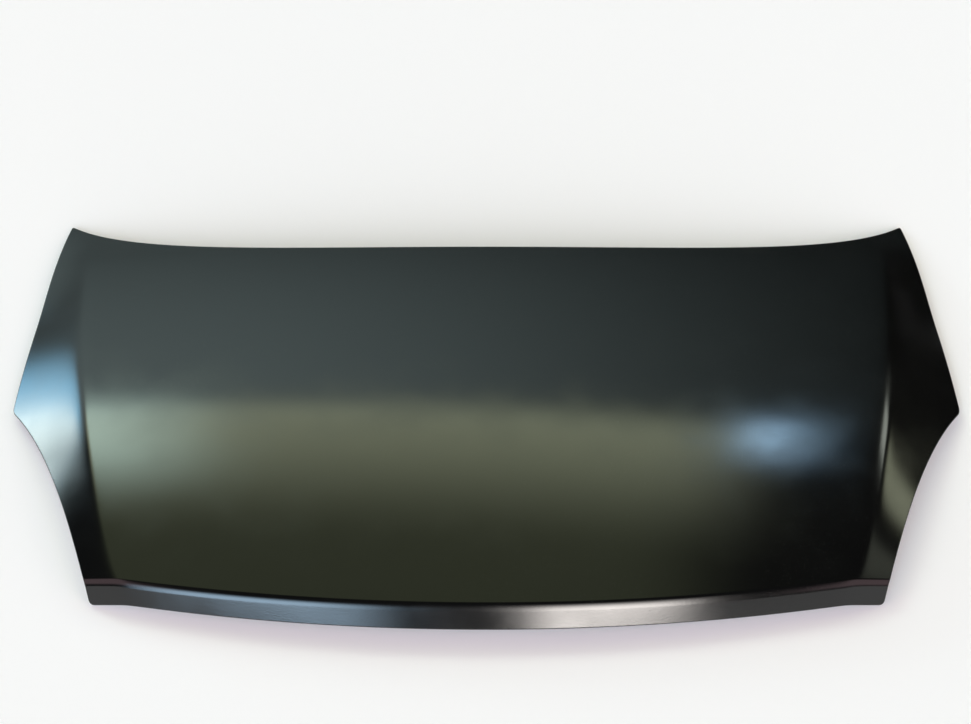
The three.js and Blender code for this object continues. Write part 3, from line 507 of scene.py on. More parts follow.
def primer_material(name, colour, dust_colour, roughness, gloss_loss, peel, waves, bump):
    """Electrocoat primer: near-black, its roughness and height from the film's texture group."""
    material, tree, shader = new_material(name)
    coordinates = tree.nodes.new("ShaderNodeTexCoord")
    film = tree.nodes.new("ShaderNodeGroup")
    film.node_tree = film_group
    film.inputs["Peel"].default_value = peel
    film.inputs["Waves"].default_value = waves
    tree.links.new(coordinates.outputs["Object"], film.inputs["Place"])
    tint(tree, shader, film.outputs["Dust"], colour, dust_colour)
    dusty = math_node(tree, "MULTIPLY_ADD", film.outputs["Dust"], DUST_ROUGHNESS, roughness)
    rough = math_node(tree, "MULTIPLY_ADD", film.outputs["Gloss loss"], gloss_loss, dusty)
    tree.links.new(rough, shader.inputs["Roughness"])
    emboss(tree, shader, film.outputs["Height"], bump, FILM_DEPTH)
    return material


skin_primer = primer_material(
    "black primer on the skin", (0.003, 0.003, 0.003), (0.03, 0.03, 0.027),
    roughness=0.12, gloss_loss=0.05, peel=1.0, waves=1.5, bump=0.25,
)

MIDDLE_COLUMNS = 40
MIDDLE_PACKING = 1.6               # packs the columns towards the crease
FLANK_COLUMNS = 18
middle_columns = 1 - (1 - np.linspace(0, 1, MIDDLE_COLUMNS + 1)) ** MIDDLE_PACKING
half_columns = np.concatenate([middle_columns, 1 + eased(FLANK_COLUMNS)[1:]])
columns = np.concatenate([-half_columns[:0:-1], half_columns])


def rows_of(side_rows, lamp_rows, lip_rows):
    """Shares along the skin, packed towards the edges, the tip and the nose fold."""
    return np.concatenate([
        TIP_SHARE * eased(side_rows),
        TIP_SHARE + (1 - TIP_SHARE) * eased(lamp_rows)[1:],
        1 + eased(lip_rows)[1:],
    ])


grid_across, grid_along = np.meshgrid(columns, rows_of(side_rows=56, lamp_rows=44, lip_rows=24))
round_across, round_along = inset(grid_across, grid_along, 0.0, REAR_ROUNDING, LIP_ROUNDING)
skin_sheet = Sheet()
skin_numbers = skin_sheet.add(skin_point(round_across, round_along))
skin_sheet.grid(skin_numbers)


def ring_of(grid):
    """Closed edge of a grid, anticlockwise from above: windscreen edge, -X side, lip, +X side."""
    return np.concatenate([grid[0, ::-1], grid[1:, 0], grid[-1, 1:], grid[-2:0:-1, -1]])


def edge_loop(places, normals, outwards, upwards):
    """Loop beside a closed one: a distance outwards, square to its line and its normal, and one upwards."""
    tangent = np.roll(places, -1, axis=0) - np.roll(places, 1, axis=0)
    out = np.cross(tangent, normals)
    out /= np.linalg.norm(out, axis=1, keepdims=True)
    return places + out * outwards + normals * upwards


ring_across, ring_along = ring_of(round_across), ring_of(round_along)
ring_places = skin_point(ring_across, ring_along)
ring_normals = skin_normal(ring_across, ring_along)
ring_numbers = ring_of(skin_numbers)
fold = HEM_HEIGHT / 2
for turn in np.radians(np.linspace(0, 180, HEM_STEPS + 1)[1:]):
    loop = edge_loop(ring_places, ring_normals, fold * np.sin(turn), fold * (np.cos(turn) - 1))
    fold_numbers = skin_sheet.add(loop)
    skin_sheet.band(ring_numbers, fold_numbers)
    ring_numbers = fold_numbers
hem_across, hem_along = inset(ring_of(grid_across), ring_of(grid_along), HEM_RETURN)
hem_edge = skin_point(hem_across, hem_along) - skin_normal(hem_across, hem_along) * HEM_HEIGHT
skin_sheet.band(ring_numbers, skin_sheet.add(hem_edge))
finish_piece("pressed_skin", skin_sheet, skin_primer, ["outer_skin"], SKIN_SHEET)

# Inner frame.
# One sheet of mild steel 0.65 mm thick, deep drawn: a channel along the edge and ribs between six openings,
# with level pads for the hinges and the striker. Its outer flange is gripped in the skin's hem.
SEAT_GAP = 0.0003
HEM_SETBACK = 0.001
HEM_FLANGE = 0.012
HEM_FLANGE_LEAN = 0.0004
HEM_FLANGE_ROUNDING = 0.005
MASTIC_GAP = 0.004
REST_HEIGHT = -FOOTPRINT_SHIFT[2]
FRAME_DEPTH = 0.028
EDGE_DEPTH_SHARE = 0.5
DEPTH_SOFTNESS = 0.004
CHANNEL_FOOT = 0.026
CHANNEL_FOOT_ROUNDING = 0.014
FOOT_CORNER_SHARE = 0.018          # share of the length that the lip's part of the ring is laid over
FLOOR_SPACING = 0.013
FULL_BOW_LENGTH = 0.1              # sides shorter than this bow out less
CORNER_FILL = 0.98
WALL_STEPS = 12
WALL_PULL = 0.6                    # of the wall's length, how far its ends keep their directions
RIM = 0.001                        # narrow row beside each cut edge, so that the edge shades as a crisp one


def floor_height(x, y):
    """Channel floor: the skin less the smaller of a depth and a share of the height, softly joined."""
    height = skin_height(x, y)
    share = EDGE_DEPTH_SHARE * (height - REST_HEIGHT)
    return height - (FRAME_DEPTH + share - np.hypot(FRAME_DEPTH - share, DEPTH_SOFTNESS)) / 2


def flange_height(x, y):
    """Flanges around the openings: a glue gap below the skin."""
    return skin_height(x, y) - SKIN_SHEET - MASTIC_GAP


def on_surface(plan, height):
    """Plan points lifted to a height that is a formula of the place."""
    return np.column_stack([plan, height(*plan.T)])


def channel_foot(across, along, distance):
    """Plan of the channel floor's edge: the outline at the nose fold moved inwards, with round corners."""
    out = np.abs(across)
    within = np.minimum(along, 1)
    past = np.maximum(along - 1, 0)
    per_rear = np.interp(out, end_shares, rear_scale)
    per_nose = np.interp(out, end_shares, nose_scale)
    rear_limit = distance / per_rear
    nose_limit = 1 - distance / per_nose
    squeeze = 1 - nose_limit + FOOT_CORNER_SHARE * (1 - past)
    rear_shift = rear_limit * np.clip(1 - within / REAR_EASE, 0, 1)
    along = within + rear_shift - squeeze * np.clip(1 - (1 - within) / NOSE_EASE, 0, 1)
    per_side = np.interp(along, side_shares, side_scale)
    side_limit = 2 - distance / per_side
    out = out - np.clip(out - 1, 0, 1) * (2 - side_limit)
    for end_limit, per_end in ((rear_limit, per_rear), (nose_limit, -per_nose)):
        out, along = round_corner(out, along, side_limit, per_side, end_limit, per_end, CHANNEL_FOOT_ROUNDING)
    return np.stack(skin_plan(np.sign(across) * out, along), -1)


def corner_frames(corners):
    """Unit vectors from each corner to the one before and the one after, and half the angle between them."""
    before = np.roll(corners, 1, axis=0) - corners
    after = np.roll(corners, -1, axis=0) - corners
    before /= np.linalg.norm(before, axis=1, keepdims=True)
    after /= np.linalg.norm(after, axis=1, keepdims=True)
    return before, after, np.arccos(np.sum(before * after, axis=1)) / 2


def largest_radius(corners):
    """Corner radius at which the two rounded corners of the tightest side almost meet."""
    _, _, half = corner_frames(corners)
    lengths = np.linalg.norm(np.roll(corners, -1, axis=0) - corners, axis=1)
    return CORNER_FILL * np.min(lengths / (1 / np.tan(half) + 1 / np.tan(np.roll(half, -1))))


def rounded_outline(corners, radius, inward=0.0, bow=0.0, arc_steps=10, side_steps=16):
    """Convex outline with round corners, moved inwards about the same corner centres.

    A corner's centre lies radius / sin(half its angle) along its bisector. A side bows out by 4 b t (1 - t),
    and less where it is short."""
    before, after, half = corner_frames(corners)
    bisector = (before + after) / np.linalg.norm(before + after, axis=1, keepdims=True)
    centres = corners + bisector * (radius / np.sin(half))[:, None]
    starts = np.arctan2(-before[:, 0], before[:, 1]) + np.pi
    angles = starts[:, None] + (np.pi - 2 * half)[:, None] * np.linspace(0, 1, arc_steps + 1)
    arcs = centres[:, None] + np.stack([np.cos(angles), np.sin(angles)], -1) * (radius - inward)
    ends = np.roll(arcs[:, 0], -1, axis=0)[:, None]
    t = np.linspace(0, 1, side_steps + 1)[1:-1, None]
    run = ends - arcs[:, -1:]
    outward = np.stack([run[..., 1], -run[..., 0]], -1) / np.maximum(
        np.linalg.norm(run, axis=-1, keepdims=True), FULL_BOW_LENGTH
    )
    sides = arcs[:, -1:] + run * t + outward * bow * 4 * t * (1 - t)
    return np.concatenate([arcs, sides], axis=1).reshape(-1, 2)


def circle(x, y, radius, steps=32):
    """Plan points of a circle, anticlockwise from +X."""
    angles = np.linspace(0, 2 * np.pi, steps, endpoint=False)
    return np.stack([x + radius * np.cos(angles), y + radius * np.sin(angles)], -1)


def mirrored(corners):
    """The same outline on the other side of the centre line, still anticlockwise."""
    return (corners * [-1, 1])[::-1]


REAR_CHANNEL = 0.082
NOSE_CHANNEL = 0.114
CENTRE_RIB = 0.056
DIAGONAL_RIB = 0.064
DIAGONAL_REAR_X = 0.370
DIAGONAL_NOSE_X = 0.170
CROSS_RIB = 0.056
CROSS_RIB_Y = -0.040
SIDE_RIB = 0.032
OPENING_REAR_Y = REAR_MIDDLE_Y - REAR_CHANNEL
OPENING_NOSE_Y = NOSE_FOLD_Y + NOSE_CHANNEL
HINGE_CORNER = np.array([0.120, 0.130])
OPENING_RADIUS = 0.052
OPENING_BOW = 0.002
RIB_WALL_RUN = 0.014
OPENING_FLANGE = 0.018


def diagonal_x(y):
    """Middle of the diagonal rib."""
    return mix(DIAGONAL_REAR_X, DIAGONAL_NOSE_X, (OPENING_REAR_Y - y) / (OPENING_REAR_Y - OPENING_NOSE_Y))


def side_rib_x(y):
    """Inner side of the side rib, which follows the crease."""
    return crease_x(y) - SIDE_RIB


def opening_corners():
    """Corners of the six openings, at the foot of their walls."""
    half_rib = DIAGONAL_RIB / 2
    cross_rear, cross_nose = CROSS_RIB_Y + CROSS_RIB / 2, CROSS_RIB_Y - CROSS_RIB / 2
    hinge_y = OPENING_REAR_Y - HINGE_CORNER[1]
    middle = np.array([
        (CENTRE_RIB / 2, OPENING_NOSE_Y),
        (diagonal_x(OPENING_NOSE_Y) - half_rib, OPENING_NOSE_Y),
        (diagonal_x(OPENING_REAR_Y) - half_rib, OPENING_REAR_Y),
        (CENTRE_RIB / 2, OPENING_REAR_Y),
    ])
    rear = np.array([
        (diagonal_x(cross_rear) + half_rib, cross_rear),
        (side_rib_x(cross_rear), cross_rear),
        (side_rib_x(hinge_y), hinge_y),
        (side_rib_x(OPENING_REAR_Y) - HINGE_CORNER[0], OPENING_REAR_Y),
        (diagonal_x(OPENING_REAR_Y) + half_rib, OPENING_REAR_Y),
    ])
    nose = np.array([
        (diagonal_x(OPENING_NOSE_Y) + half_rib, OPENING_NOSE_Y),
        (side_rib_x(OPENING_NOSE_Y), OPENING_NOSE_Y),
        (side_rib_x(cross_nose), cross_nose),
        (diagonal_x(cross_nose) + half_rib, cross_nose),
    ])
    return [side for corners in (middle, rear, nose) for side in (corners, mirrored(corners))]


def sloped_loops(sheet, outlines, heights):
    """Adds loops one inside the other with faces between them. Gives the numbers of the first and last."""
    loops = [sheet.add(on_surface(plan, height)) for plan, height in zip(outlines, heights)]
    for outer, inner in zip(loops, loops[1:]):
        sheet.band(inner, outer)
    return loops[0], loops[-1]


def add_opening(sheet, corners):
    """Wall up to the flange, rounded at its foot and top, and the flange. Gives the loop at the foot."""
    radius = min(OPENING_RADIUS, largest_radius(corners))
    edge = RIB_WALL_RUN + OPENING_FLANGE
    insets = np.concatenate([
        [-RIM],
        np.linspace(0, RIB_WALL_RUN, WALL_STEPS + 1),
        [RIB_WALL_RUN + RIM, edge - OPENING_FLANGE / 2, edge - RIM, edge],
    ])
    outlines = [rounded_outline(corners, radius, inward, OPENING_BOW) for inward in insets]
    heights = [
        lambda x, y, climb=climb: mix(floor_height(x, y), flange_height(x, y), climb)
        for climb in smoothstep(insets / RIB_WALL_RUN)
    ]
    return sloped_loops(sheet, outlines, heights)[0]


def level_at(height):
    """Height formula of a level plane."""
    return lambda x, y: np.full(np.shape(x), height)


def add_hole(sheet, x, y, radius, height):
    """Punched hole with a narrow row around it. Gives the loop around the row."""
    return sloped_loops(sheet, [circle(x, y, radius + RIM), circle(x, y, radius)], [height, height])[0]


HINGE_PAD_INSET = 0.052
HINGE_PAD_Y = 0.236
HINGE_PAD_SIZE = np.array([0.046, 0.104])
HINGE_BOLT_SPACING = 0.060
STRIKER_PAD_SETBACK = 0.068
STRIKER_PAD_SIZE = np.array([0.092, 0.044])
STRIKER_BOLT_SPACING = 0.056
PAD_WALL_RUN = 0.008
PAD_WALL_STEPS = 8
PAD_RADIUS = 0.010
BOLT_HOLE_RADIUS = 0.005
hinge_x = crease_x(HINGE_PAD_Y) - HINGE_PAD_INSET
hinge_bolt = np.array([0, HINGE_BOLT_SPACING / 2])
striker_bolt = np.array([STRIKER_BOLT_SPACING / 2, 0])
striker_place = np.array([0, NOSE_FOLD_Y + STRIKER_PAD_SETBACK])
PADS = {                           # middle, size, and the step from the middle to a bolt hole
    "hinge_left": (np.array([hinge_x, HINGE_PAD_Y]), HINGE_PAD_SIZE, hinge_bolt),
    "hinge_right": (np.array([-hinge_x, HINGE_PAD_Y]), HINGE_PAD_SIZE, hinge_bolt),
    "striker": (striker_place, STRIKER_PAD_SIZE, striker_bolt),
}
RECTANGLE = np.array([(-0.5, -0.5), (0.5, -0.5), (0.5, 0.5), (-0.5, 0.5)])


def pad_height(name):
    """Level of a pad: its reinforcement plate seats on it."""
    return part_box(f"{name}_reinforcement")[0].z - FOOTPRINT_SHIFT[2] - SEAT_GAP


def add_pad(sheet, name):
    """Wall down to a level pad with two bolt holes. Gives the loop around the wall."""
    centre, size, bolt = PADS[name]
    level = pad_height(name)
    climbing = PAD_WALL_RUN * np.linspace(1, 0, PAD_WALL_STEPS + 1)
    margins = np.concatenate([[PAD_WALL_RUN + RIM], climbing, [-RIM]])
    outlines = [
        rounded_outline(
            centre + RECTANGLE * (size + 2 * margin), PAD_RADIUS + margin, arc_steps=6, side_steps=8
        )
        for margin in margins
    ]
    heights = [
        lambda x, y, climb=climb: mix(level, floor_height(x, y), climb)
        for climb in smoothstep(margins / PAD_WALL_RUN)
    ]
    around, edge = sloped_loops(sheet, outlines, heights)
    flat = level_at(level)
    holes = [add_hole(sheet, *(centre + side * bolt), BOLT_HOLE_RADIUS, flat) for side in (-1, 1)]
    sheet.fill(edge, holes, FLOOR_SPACING / 2, flat)
    return around


frame_primer = primer_material(
    "black primer on the frame", (0.013, 0.014, 0.014), (0.06, 0.06, 0.055),
    roughness=0.28, gloss_loss=0.12, peel=1.4, waves=1.0, bump=0.3,
)

frame_grids = np.meshgrid(columns, rows_of(side_rows=30, lamp_rows=24, lip_rows=8))
frame_across, frame_along = (ring_of(grid) for grid in frame_grids)
frame_sheet = Sheet()
edge_place = inset(
    frame_across, frame_along, HEM_SETBACK, REAR_ROUNDING - HEM_SETBACK, LIP_ROUNDING - HEM_SETBACK
)
root_place = inset(frame_across, frame_along, HEM_FLANGE, HEM_FLANGE_ROUNDING, HEM_FLANGE_ROUNDING)
flange_edge = skin_point(*edge_place) - skin_normal(*edge_place) * (SKIN_SHEET + HEM_GAP)
flange_root = skin_point(*root_place) - skin_normal(*root_place) * (SKIN_SHEET + HEM_GAP + HEM_FLANGE_LEAN)
foot = on_surface(channel_foot(frame_across, frame_along, CHANNEL_FOOT), floor_height)
floor_edge = on_surface(channel_foot(frame_across, frame_along, CHANNEL_FOOT + RIM), floor_height)

# The wall is a cubic Hermite curve: it leaves along the flange and arrives level
leaving = flange_root - flange_edge
leaving /= np.linalg.norm(leaving, axis=1, keepdims=True)
arriving = (foot - flange_root) * [1, 1, 0]
arriving /= np.linalg.norm(arriving, axis=1, keepdims=True)
pull = WALL_PULL * np.linalg.norm(foot - flange_root, axis=1, keepdims=True)
outer_numbers = frame_sheet.add(flange_edge)
for t in np.linspace(0, 1, WALL_STEPS + 1):
    wall = (
        (2 * t**3 - 3 * t**2 + 1) * flange_root + (3 * t**2 - 2 * t**3) * foot
        + (t**3 - 2 * t**2 + t) * pull * leaving + (t**3 - t**2) * pull * arriving
    )
    inner_numbers = frame_sheet.add(wall)
    frame_sheet.band(inner_numbers, outer_numbers)
    outer_numbers = inner_numbers
inner_numbers = frame_sheet.add(floor_edge)
frame_sheet.band(inner_numbers, outer_numbers)
cutouts = [add_opening(frame_sheet, corners) for corners in opening_corners()]
cutouts += [add_pad(frame_sheet, name) for name in PADS]
DRAIN_RADIUS = 0.007
PROP_RADIUS = 0.009
PROP_HOLE_Y = -0.120
drain_rear_y = REAR_MIDDLE_Y - (REAR_CHANNEL + CHANNEL_FOOT) / 2
small_holes = [
    (diagonal_x(CROSS_RIB_Y), CROSS_RIB_Y, DRAIN_RADIUS),
    (DIAGONAL_REAR_X, drain_rear_y, DRAIN_RADIUS),
    (DIAGONAL_REAR_X / 2, drain_rear_y, DRAIN_RADIUS),
    (crease_x(CROSS_RIB_Y), CROSS_RIB_Y, DRAIN_RADIUS),
    (crease_x(PROP_HOLE_Y), PROP_HOLE_Y, PROP_RADIUS),
]
cutouts += [
    add_hole(frame_sheet, side * x, y, radius, floor_height)
    for x, y, radius in small_holes
    for side in (1, -1)
]
frame_sheet.fill(inner_numbers, cutouts, FLOOR_SPACING, floor_height)
finish_piece("pressed_frame", frame_sheet, frame_primer, ["inner_frame"], FRAME_SHEET)

# Reinforcement plates.
# Mild steel plate 2 mm thick, cut to a blank with round corners, its long edges bent up on a press brake, and
# spot welded over each hinge pad and the striker pad.
PLATE_THICKNESS = 0.002
PLATE_MARGIN = 0.004
PLATE_FLANGE = 0.008
PLATE_BEND_RADIUS = 0.0015         # inside the bend
PLATE_CORNER_RADIUS = 0.004
PLATE_SPACING = (0.0006, 0.004)    # of the inner points, across the bends and along them

plate_primer = primer_material(
    "black primer on thick plate", (0.016, 0.017, 0.016), (0.07, 0.07, 0.06),
    roughness=0.38, gloss_loss=0.14, peel=2.0, waves=0.5, bump=0.35,
)


def bent(blank, half_width):
    """Blank bent up along both long edges: flat, then a quarter circle inside each bend, then straight up."""
    s, t = blank[:, 0], blank[:, 1]
    flat = half_width - PLATE_THICKNESS - PLATE_BEND_RADIUS
    past = np.maximum(np.abs(s) - flat, 0)
    turn = np.minimum(past / PLATE_BEND_RADIUS, np.pi / 2)
    straight = np.maximum(past - PLATE_BEND_RADIUS * np.pi / 2, 0)
    across = np.sign(s) * (np.minimum(np.abs(s), flat) + PLATE_BEND_RADIUS * np.sin(turn))
    up = PLATE_BEND_RADIUS * (1 - np.cos(turn)) + straight
    return np.stack([across, t, up], -1)


for name, (centre, size, bolt) in PADS.items():
    lengthwise = size[1] > size[0]
    width, length = np.sort(size) - 2 * PLATE_MARGIN
    blank_width = width + 2 * (PLATE_FLANGE - 2 * PLATE_THICKNESS) + (np.pi - 4) * PLATE_BEND_RADIUS
    plate_sheet = Sheet()
    flat = level_at(0.0)
    blank = RECTANGLE * [blank_width, length]
    outlines = [
        rounded_outline(blank, PLATE_CORNER_RADIUS, inward, arc_steps=6, side_steps=60)
        for inward in (0, RIM / 2)
    ]
    edge = sloped_loops(plate_sheet, outlines, [flat, flat])[1]
    spacing = np.linalg.norm(bolt)
    holes = [add_hole(plate_sheet, 0, side * spacing, BOLT_HOLE_RADIUS, flat) for side in (-1, 1)]
    plate_sheet.fill(edge, holes, PLATE_SPACING, flat)
    bent_up = bent(np.concatenate(plate_sheet.points), width / 2)
    if not lengthwise:
        bent_up = bent_up[:, [1, 0, 2]] * [-1, 1, 1]
    plate_sheet.points = [bent_up + [*centre, pad_height(name) + SEAT_GAP + PLATE_THICKNESS]]
    node = f"{name}_reinforcement"
    finish_piece(f"{name}_plate", plate_sheet, plate_primer, [node], PLATE_THICKNESS)

# Weld nuts.
# M8 hexagon nuts of zinc-plated steel, chamfered on top and threaded at 1.25 mm pitch, welded on the plates
# over their bolt holes.
NUT_ACROSS_FLATS = 0.013
NUT_HEIGHT = 0.007
NUT_CREST_RADIUS = 0.0034
NUT_THREAD_DEPTH = 0.0006
NUT_PITCH = 0.00125
NUT_CHAMFER_RADIUS = 0.0062
NUT_CHAMFER_SLOPE = np.tan(np.radians(30))
NUT_MOUTH_RADIUS = 0.0042
NUT_THREAD_END = 0.0006            # from the nut's top and bottom
NUT_THREAD_ROWS = 38
NUT_STEPS = 72

zinc, zinc_tree, zinc_shader = new_material("zinc-plated steel")
zinc_place = zinc_tree.nodes.new("ShaderNodeTexCoord").outputs["Object"]
zinc_bloom = ranged(zinc_tree, noise_node(zinc_tree, zinc_place, 700, 3), 0.3, 0.7, 0.28, 0.55)
zinc_tree.links.new(zinc_bloom, zinc_shader.inputs["Roughness"])
zinc_clouds = ranged(zinc_tree, noise_node(zinc_tree, zinc_place, 260, 4), 0.35, 0.7)
tint(zinc_tree, zinc_shader, zinc_clouds, (0.42, 0.43, 0.42), (0.30, 0.29, 0.24))
zinc_shader.inputs["Metallic"].default_value = 1.0


def nut_sheet(x, y, base):
    """Closed hexagon nut: flats, a 30 degree chamfer on the corners, and a bore with a helical V thread.

    Its outside radius is half the flats over cos(angle from the middle of the flat)."""
    angles = np.linspace(0, 2 * np.pi, NUT_STEPS, endpoint=False)
    hexagon = NUT_ACROSS_FLATS / 2 / np.cos(angles % (np.pi / 3) - np.pi / 6)
    corner_height = NUT_HEIGHT - (hexagon - NUT_CHAMFER_RADIUS) * NUT_CHAMFER_SLOPE
    level = np.ones(NUT_STEPS)
    rows = [
        (hexagon, 0 * level), (hexagon, corner_height),
        (NUT_CHAMFER_RADIUS * level, NUT_HEIGHT * level), (NUT_MOUTH_RADIUS * level, NUT_HEIGHT * level),
    ]
    for height in np.linspace(NUT_HEIGHT - NUT_THREAD_END, NUT_THREAD_END, NUT_THREAD_ROWS):
        turn = height / NUT_PITCH - angles / (2 * np.pi)
        rows.append((NUT_CREST_RADIUS + NUT_THREAD_DEPTH * np.abs(2 * (turn % 1) - 1), height * level))
    rows.append((NUT_MOUTH_RADIUS * level, 0 * level))
    sheet = Sheet()
    loops = [
        sheet.add(np.stack([x + radius * np.cos(angles), y + radius * np.sin(angles), base + height], -1))
        for radius, height in rows
    ]
    for below, above in zip(loops, loops[1:] + loops[:1]):
        sheet.band(above, below)
    return sheet


for name in PADS:
    for number in (1, 2):
        node = f"{name}_nut_{number}"
        low, high = np.array(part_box(node)) - FOOTPRINT_SHIFT
        nut = nut_sheet(*(low + high)[:2] / 2, low[2])
        finish_piece(f"{name}_weld_nut_{number}", nut, zinc, [node])

# Nose stiffener.
# A hat-shaped strip of steel 0.8 mm thick, pressed to follow the skin, and glued under it behind the nose
# fold.
STIFFENER_HALF_LENGTH = 0.280
STIFFENER_MIDDLE = 0.0445          # behind the nose fold
STIFFENER_HALF_WIDTH = 0.0225
STIFFENER_DEPTH = 0.007
STIFFENER_SHEET = 0.0008
STIFFENER_STEPS = 70
STIFFENER_WALL = (0.0087, 0.0128)  # from the middle line: where the wall starts and ends

back = np.concatenate([
    np.linspace(0, STIFFENER_WALL[0], 4, endpoint=False),
    np.linspace(*STIFFENER_WALL, 11),
    np.linspace(STIFFENER_WALL[1], STIFFENER_HALF_WIDTH - RIM, 4)[1:],
    [STIFFENER_HALF_WIDTH],
])
back = np.concatenate([back[::-1], -back[1:]])
wall_share = (STIFFENER_WALL[1] - np.abs(back)) / (STIFFENER_WALL[1] - STIFFENER_WALL[0])
half_run = STIFFENER_HALF_LENGTH - RIM
stations = np.concatenate([
    [-STIFFENER_HALF_LENGTH], np.linspace(-half_run, half_run, STIFFENER_STEPS + 1), [STIFFENER_HALF_LENGTH]
])
strip_x, strip_back = np.meshgrid(stations, back)
strip_y = nose_fold_y(strip_x) + STIFFENER_MIDDLE + strip_back
strip_deep = STIFFENER_DEPTH * smoothstep(wall_share)[:, None]
strip_z = skin_height(strip_x, strip_y) - SKIN_SHEET - 2 * SEAT_GAP - strip_deep
strip_sheet = Sheet()
strip_sheet.grid(strip_sheet.add(np.stack([strip_x, strip_y, strip_z], -1)))
finish_piece(
    "stiffener_strip", strip_sheet, frame_primer, ["nose_stiffener"], STIFFENER_SHEET
)

# Mastic pads.
# Blobs of soft anti-flutter mastic between the frame's flanges and the skin, squeezed a little out of round.
MASTIC_RADIUS = 0.0057
MASTIC_CLEARANCE = 0.0004
MASTIC_STEPS = 28
MASTIC_OVAL = 0.03                 # shares of the radius: a wave twice around the rim, and one thrice
MASTIC_WAVE = 0.015
MASTIC_PROFILE = np.array([           # share of the radius and of the height, from the top down
    (0.35, 0.0), (0.7, 0.01), (0.86, 0.05), (0.95, 0.16), (0.99, 0.34), (1.0, 0.5),
    (0.99, 0.66), (0.95, 0.84), (0.86, 0.95), (0.7, 0.99), (0.35, 1.0),
])

mastic, mastic_tree, mastic_shader = new_material("anti-flutter mastic")
mastic_place = mastic_tree.nodes.new("ShaderNodeTexCoord").outputs["Object"]
mastic_grain = noise_node(mastic_tree, mastic_place, 900, 4)
mastic_clouds = ranged(mastic_tree, mastic_grain, 0.4, 0.65)
tint(mastic_tree, mastic_shader, mastic_clouds, (0.055, 0.057, 0.055), (0.095, 0.095, 0.088))
mastic_rough = ranged(mastic_tree, mastic_grain, 0.3, 0.7, 0.65, 0.85)
mastic_tree.links.new(mastic_rough, mastic_shader.inputs["Roughness"])
emboss(mastic_tree, mastic_shader, mastic_grain, 0.5, 0.0002)


def mastic_sheet(x, y, random):
    """Closed blob: its profile turned about the middle, with two faint waves around the rim."""
    angles = np.linspace(0, 2 * np.pi, MASTIC_STEPS, endpoint=False)
    phases = random.uniform(0, 2 * np.pi, 2)
    rim = 1 - MASTIC_OVAL * (1 + np.sin(2 * angles + phases[0]))
    rim -= MASTIC_WAVE * (1 + np.sin(3 * angles + phases[1]))
    height = MASTIC_GAP - 2 * MASTIC_CLEARANCE
    top = skin_height(x, y) - SKIN_SHEET - MASTIC_CLEARANCE
    sheet = Sheet()
    loops = []
    for radius, depth in MASTIC_PROFILE:
        ring_x = x + MASTIC_RADIUS * radius * rim * np.cos(angles)
        ring_y = y + MASTIC_RADIUS * radius * rim * np.sin(angles)
        ring_z = skin_height(ring_x, ring_y) - SKIN_SHEET - MASTIC_CLEARANCE - depth * height
        loops.append(sheet.add(np.stack([ring_x, ring_y, ring_z], -1)))
    for upper, lower in zip(loops, loops[1:]):
        sheet.band(upper, lower)
    poles = sheet.add(np.array([(x, y, top), (x, y, top - height)]))
    sheet.cone(poles[0], loops[0])
    sheet.cone(poles[1], loops[-1][::-1])
    return sheet


MASTIC_COUNTS = {"middle": 6, "rear": 5, "nose": 4}
mastic_random = np.random.default_rng(7)
for bay, count in MASTIC_COUNTS.items():
    for side in ("left", "right"):
        for number in range(1, count + 1):
            node = f"mastic_{bay}_{side}_{number}"
            low, high = np.array(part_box(node)) - FOOTPRINT_SHIFT
            blob = mastic_sheet(*(low + high)[:2] / 2, mastic_random)
            finish_piece(f"blob_{bay}_{side}_{number}", blob, mastic, [node])

# Studio.
# A plain pale floor, and around it the studio as the world: a cool wall and a warm ceiling light behind the
# bonnet, windows and walls at its sides, two lamps beside the camera and a soft box over each side.
FLOOR_COLOUR = (0.94, 0.906, 0.926)
FLOOR_SIZE = 60

floor_mesh = bpy.data.meshes.new("floor")
floor_corners = np.column_stack([RECTANGLE * FLOOR_SIZE, np.zeros(4)])
floor_mesh.from_pydata(floor_corners.tolist(), [], [(0, 1, 2, 3)])
floor_material, _, floor_shader = new_material("pale floor")
floor_shader.inputs["Base Color"].default_value = (*FLOOR_COLOUR, 1)
floor_shader.inputs["Roughness"].default_value = 0.9
floor_shader.inputs["Specular IOR Level"].default_value = 0.0
floor_mesh.materials.append(floor_material)
floor = bpy.data.objects.new("floor", floor_mesh)
bpy.context.scene.collection.objects.link(floor)

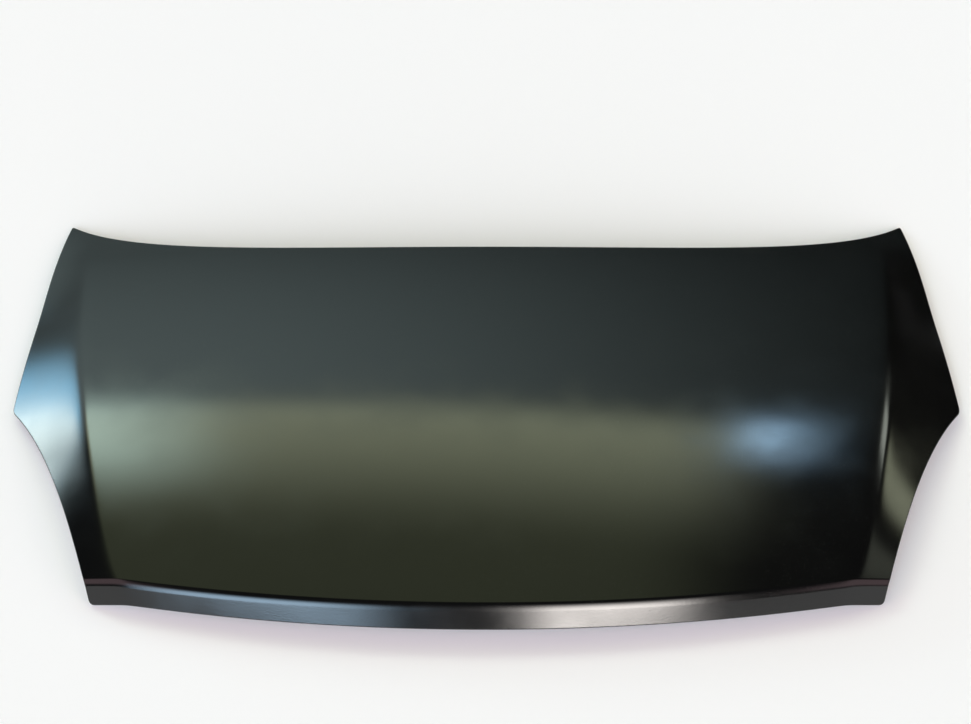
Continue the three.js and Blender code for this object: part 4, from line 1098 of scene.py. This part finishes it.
# Each light is a soft-edged patch of the world: its colour, then where it starts and is full and where it
# starts to fade and ends, first in pitch and then sideways. pitch is in degrees, 0 at the horizon behind the
# bonnet, 90 overhead and 180 at the horizon behind the camera, and sideways is the X part of the direction.
# The room stands a little askew to the bonnet: pitch is counted from a line that climbs towards +X.
ASKEW = 8.6
LIGHTS = [
    ((1.10, 1.42, 1.42), (-5, 55, 44, 52), (-1.6, -1.5, -0.30, 0.52)),       # cool wall behind the bonnet
    ((2.30, 2.50, 1.75), (45.5, 50, 49, 71), (-0.70, -0.55, 0.19, 0.30)),    # warm ceiling light, near part
    ((0.50, 0.57, 0.33), (45.5, 50, 80, 92), (-0.70, -0.55, 0.14, 0.27)),    # and its fading part
    ((3.60, 5.20, 4.90), (44, 49, 54, 66), (-0.60, -0.50, -0.37, -0.22)),    # its brighter left end
    ((5.5, 9.0, 12.5), (44.5, 48.5, 50, 55), (0.225, 0.265, 0.28, 0.325)),   # lamp on the right
    ((2.2, 5.2, 7.6), (8, 22, 36, 46), (-0.84, -0.82, -0.75, -0.67)),        # window on the left
    ((8.5, 7.5, 5.0), (16, 28, 36, 44), (-0.84, -0.82, -0.785, -0.735)),     # and its bright part
    ((2.6, 2.75, 1.95), (31, 35, 43, 52), (0.72, 0.765, 0.86, 0.90)),        # pale wall on the right
    ((0.7, 0.75, 0.6), (58, 63, 68, 76), (0.64, 0.69, 0.75, 0.80)),          # and its upper part
    ((4.0, 4.3, 3.8), (35, 39, 45, 49), (0.44, 0.52, 0.60, 0.68)),           # small lamp seen in the crease
    ((6.4, 9.0, 11.5), (128, 170, 182, 190), (-0.58, -0.46, -0.26, -0.12)),  # blue lamp beside the camera
    ((23.4, 22.0, 21.0), (112, 174, 182, 190), (0.04, 0.12, 0.26, 0.35)),    # white lamp on the other side
    ((1.20, 0.84, 0.90), (86, 104, 150, 178), (0.42, 0.58, 0.86, 0.98)),     # soft box over each side
    ((1.20, 0.84, 0.90), (86, 104, 150, 178), (-0.98, -0.86, -0.58, -0.42)),
]
world = bpy.data.worlds.new("studio")
bpy.context.scene.world = world
world.use_nodes = True
sky = world.node_tree
direction = sky.nodes.new("ShaderNodeSeparateXYZ")
sky.links.new(sky.nodes.new("ShaderNodeTexCoord").outputs["Generated"], direction.inputs["Vector"])
pitch = math_node(sky, "ARCTAN2", direction.outputs["Z"], direction.outputs["Y"])
pitch = math_node(sky, "MULTIPLY", pitch, 180 / np.pi)
pitch = math_node(sky, "MULTIPLY_ADD", direction.outputs["X"], -ASKEW, pitch)
total = sky.nodes.new("ShaderNodeCombineXYZ").outputs["Vector"]
for colour, pitch_limits, side_limits in LIGHTS:
    strength = 1.0
    for value, (start, full, fade, end) in ((pitch, pitch_limits), (direction.outputs["X"], side_limits)):
        strength = math_node(sky, "MULTIPLY", strength, ranged(sky, value, start, full))
        strength = math_node(sky, "MULTIPLY", strength, ranged(sky, value, fade, end, 1.0, 0.0))
    patch = sky.nodes.new("ShaderNodeVectorMath")
    patch.operation = "MULTIPLY_ADD"
    patch.inputs[0].default_value = colour
    sky.links.new(strength, patch.inputs[1])
    sky.links.new(total, patch.inputs[2])
    total = patch.outputs["Vector"]
sky.links.new(total, sky.nodes["Background"].inputs["Color"])
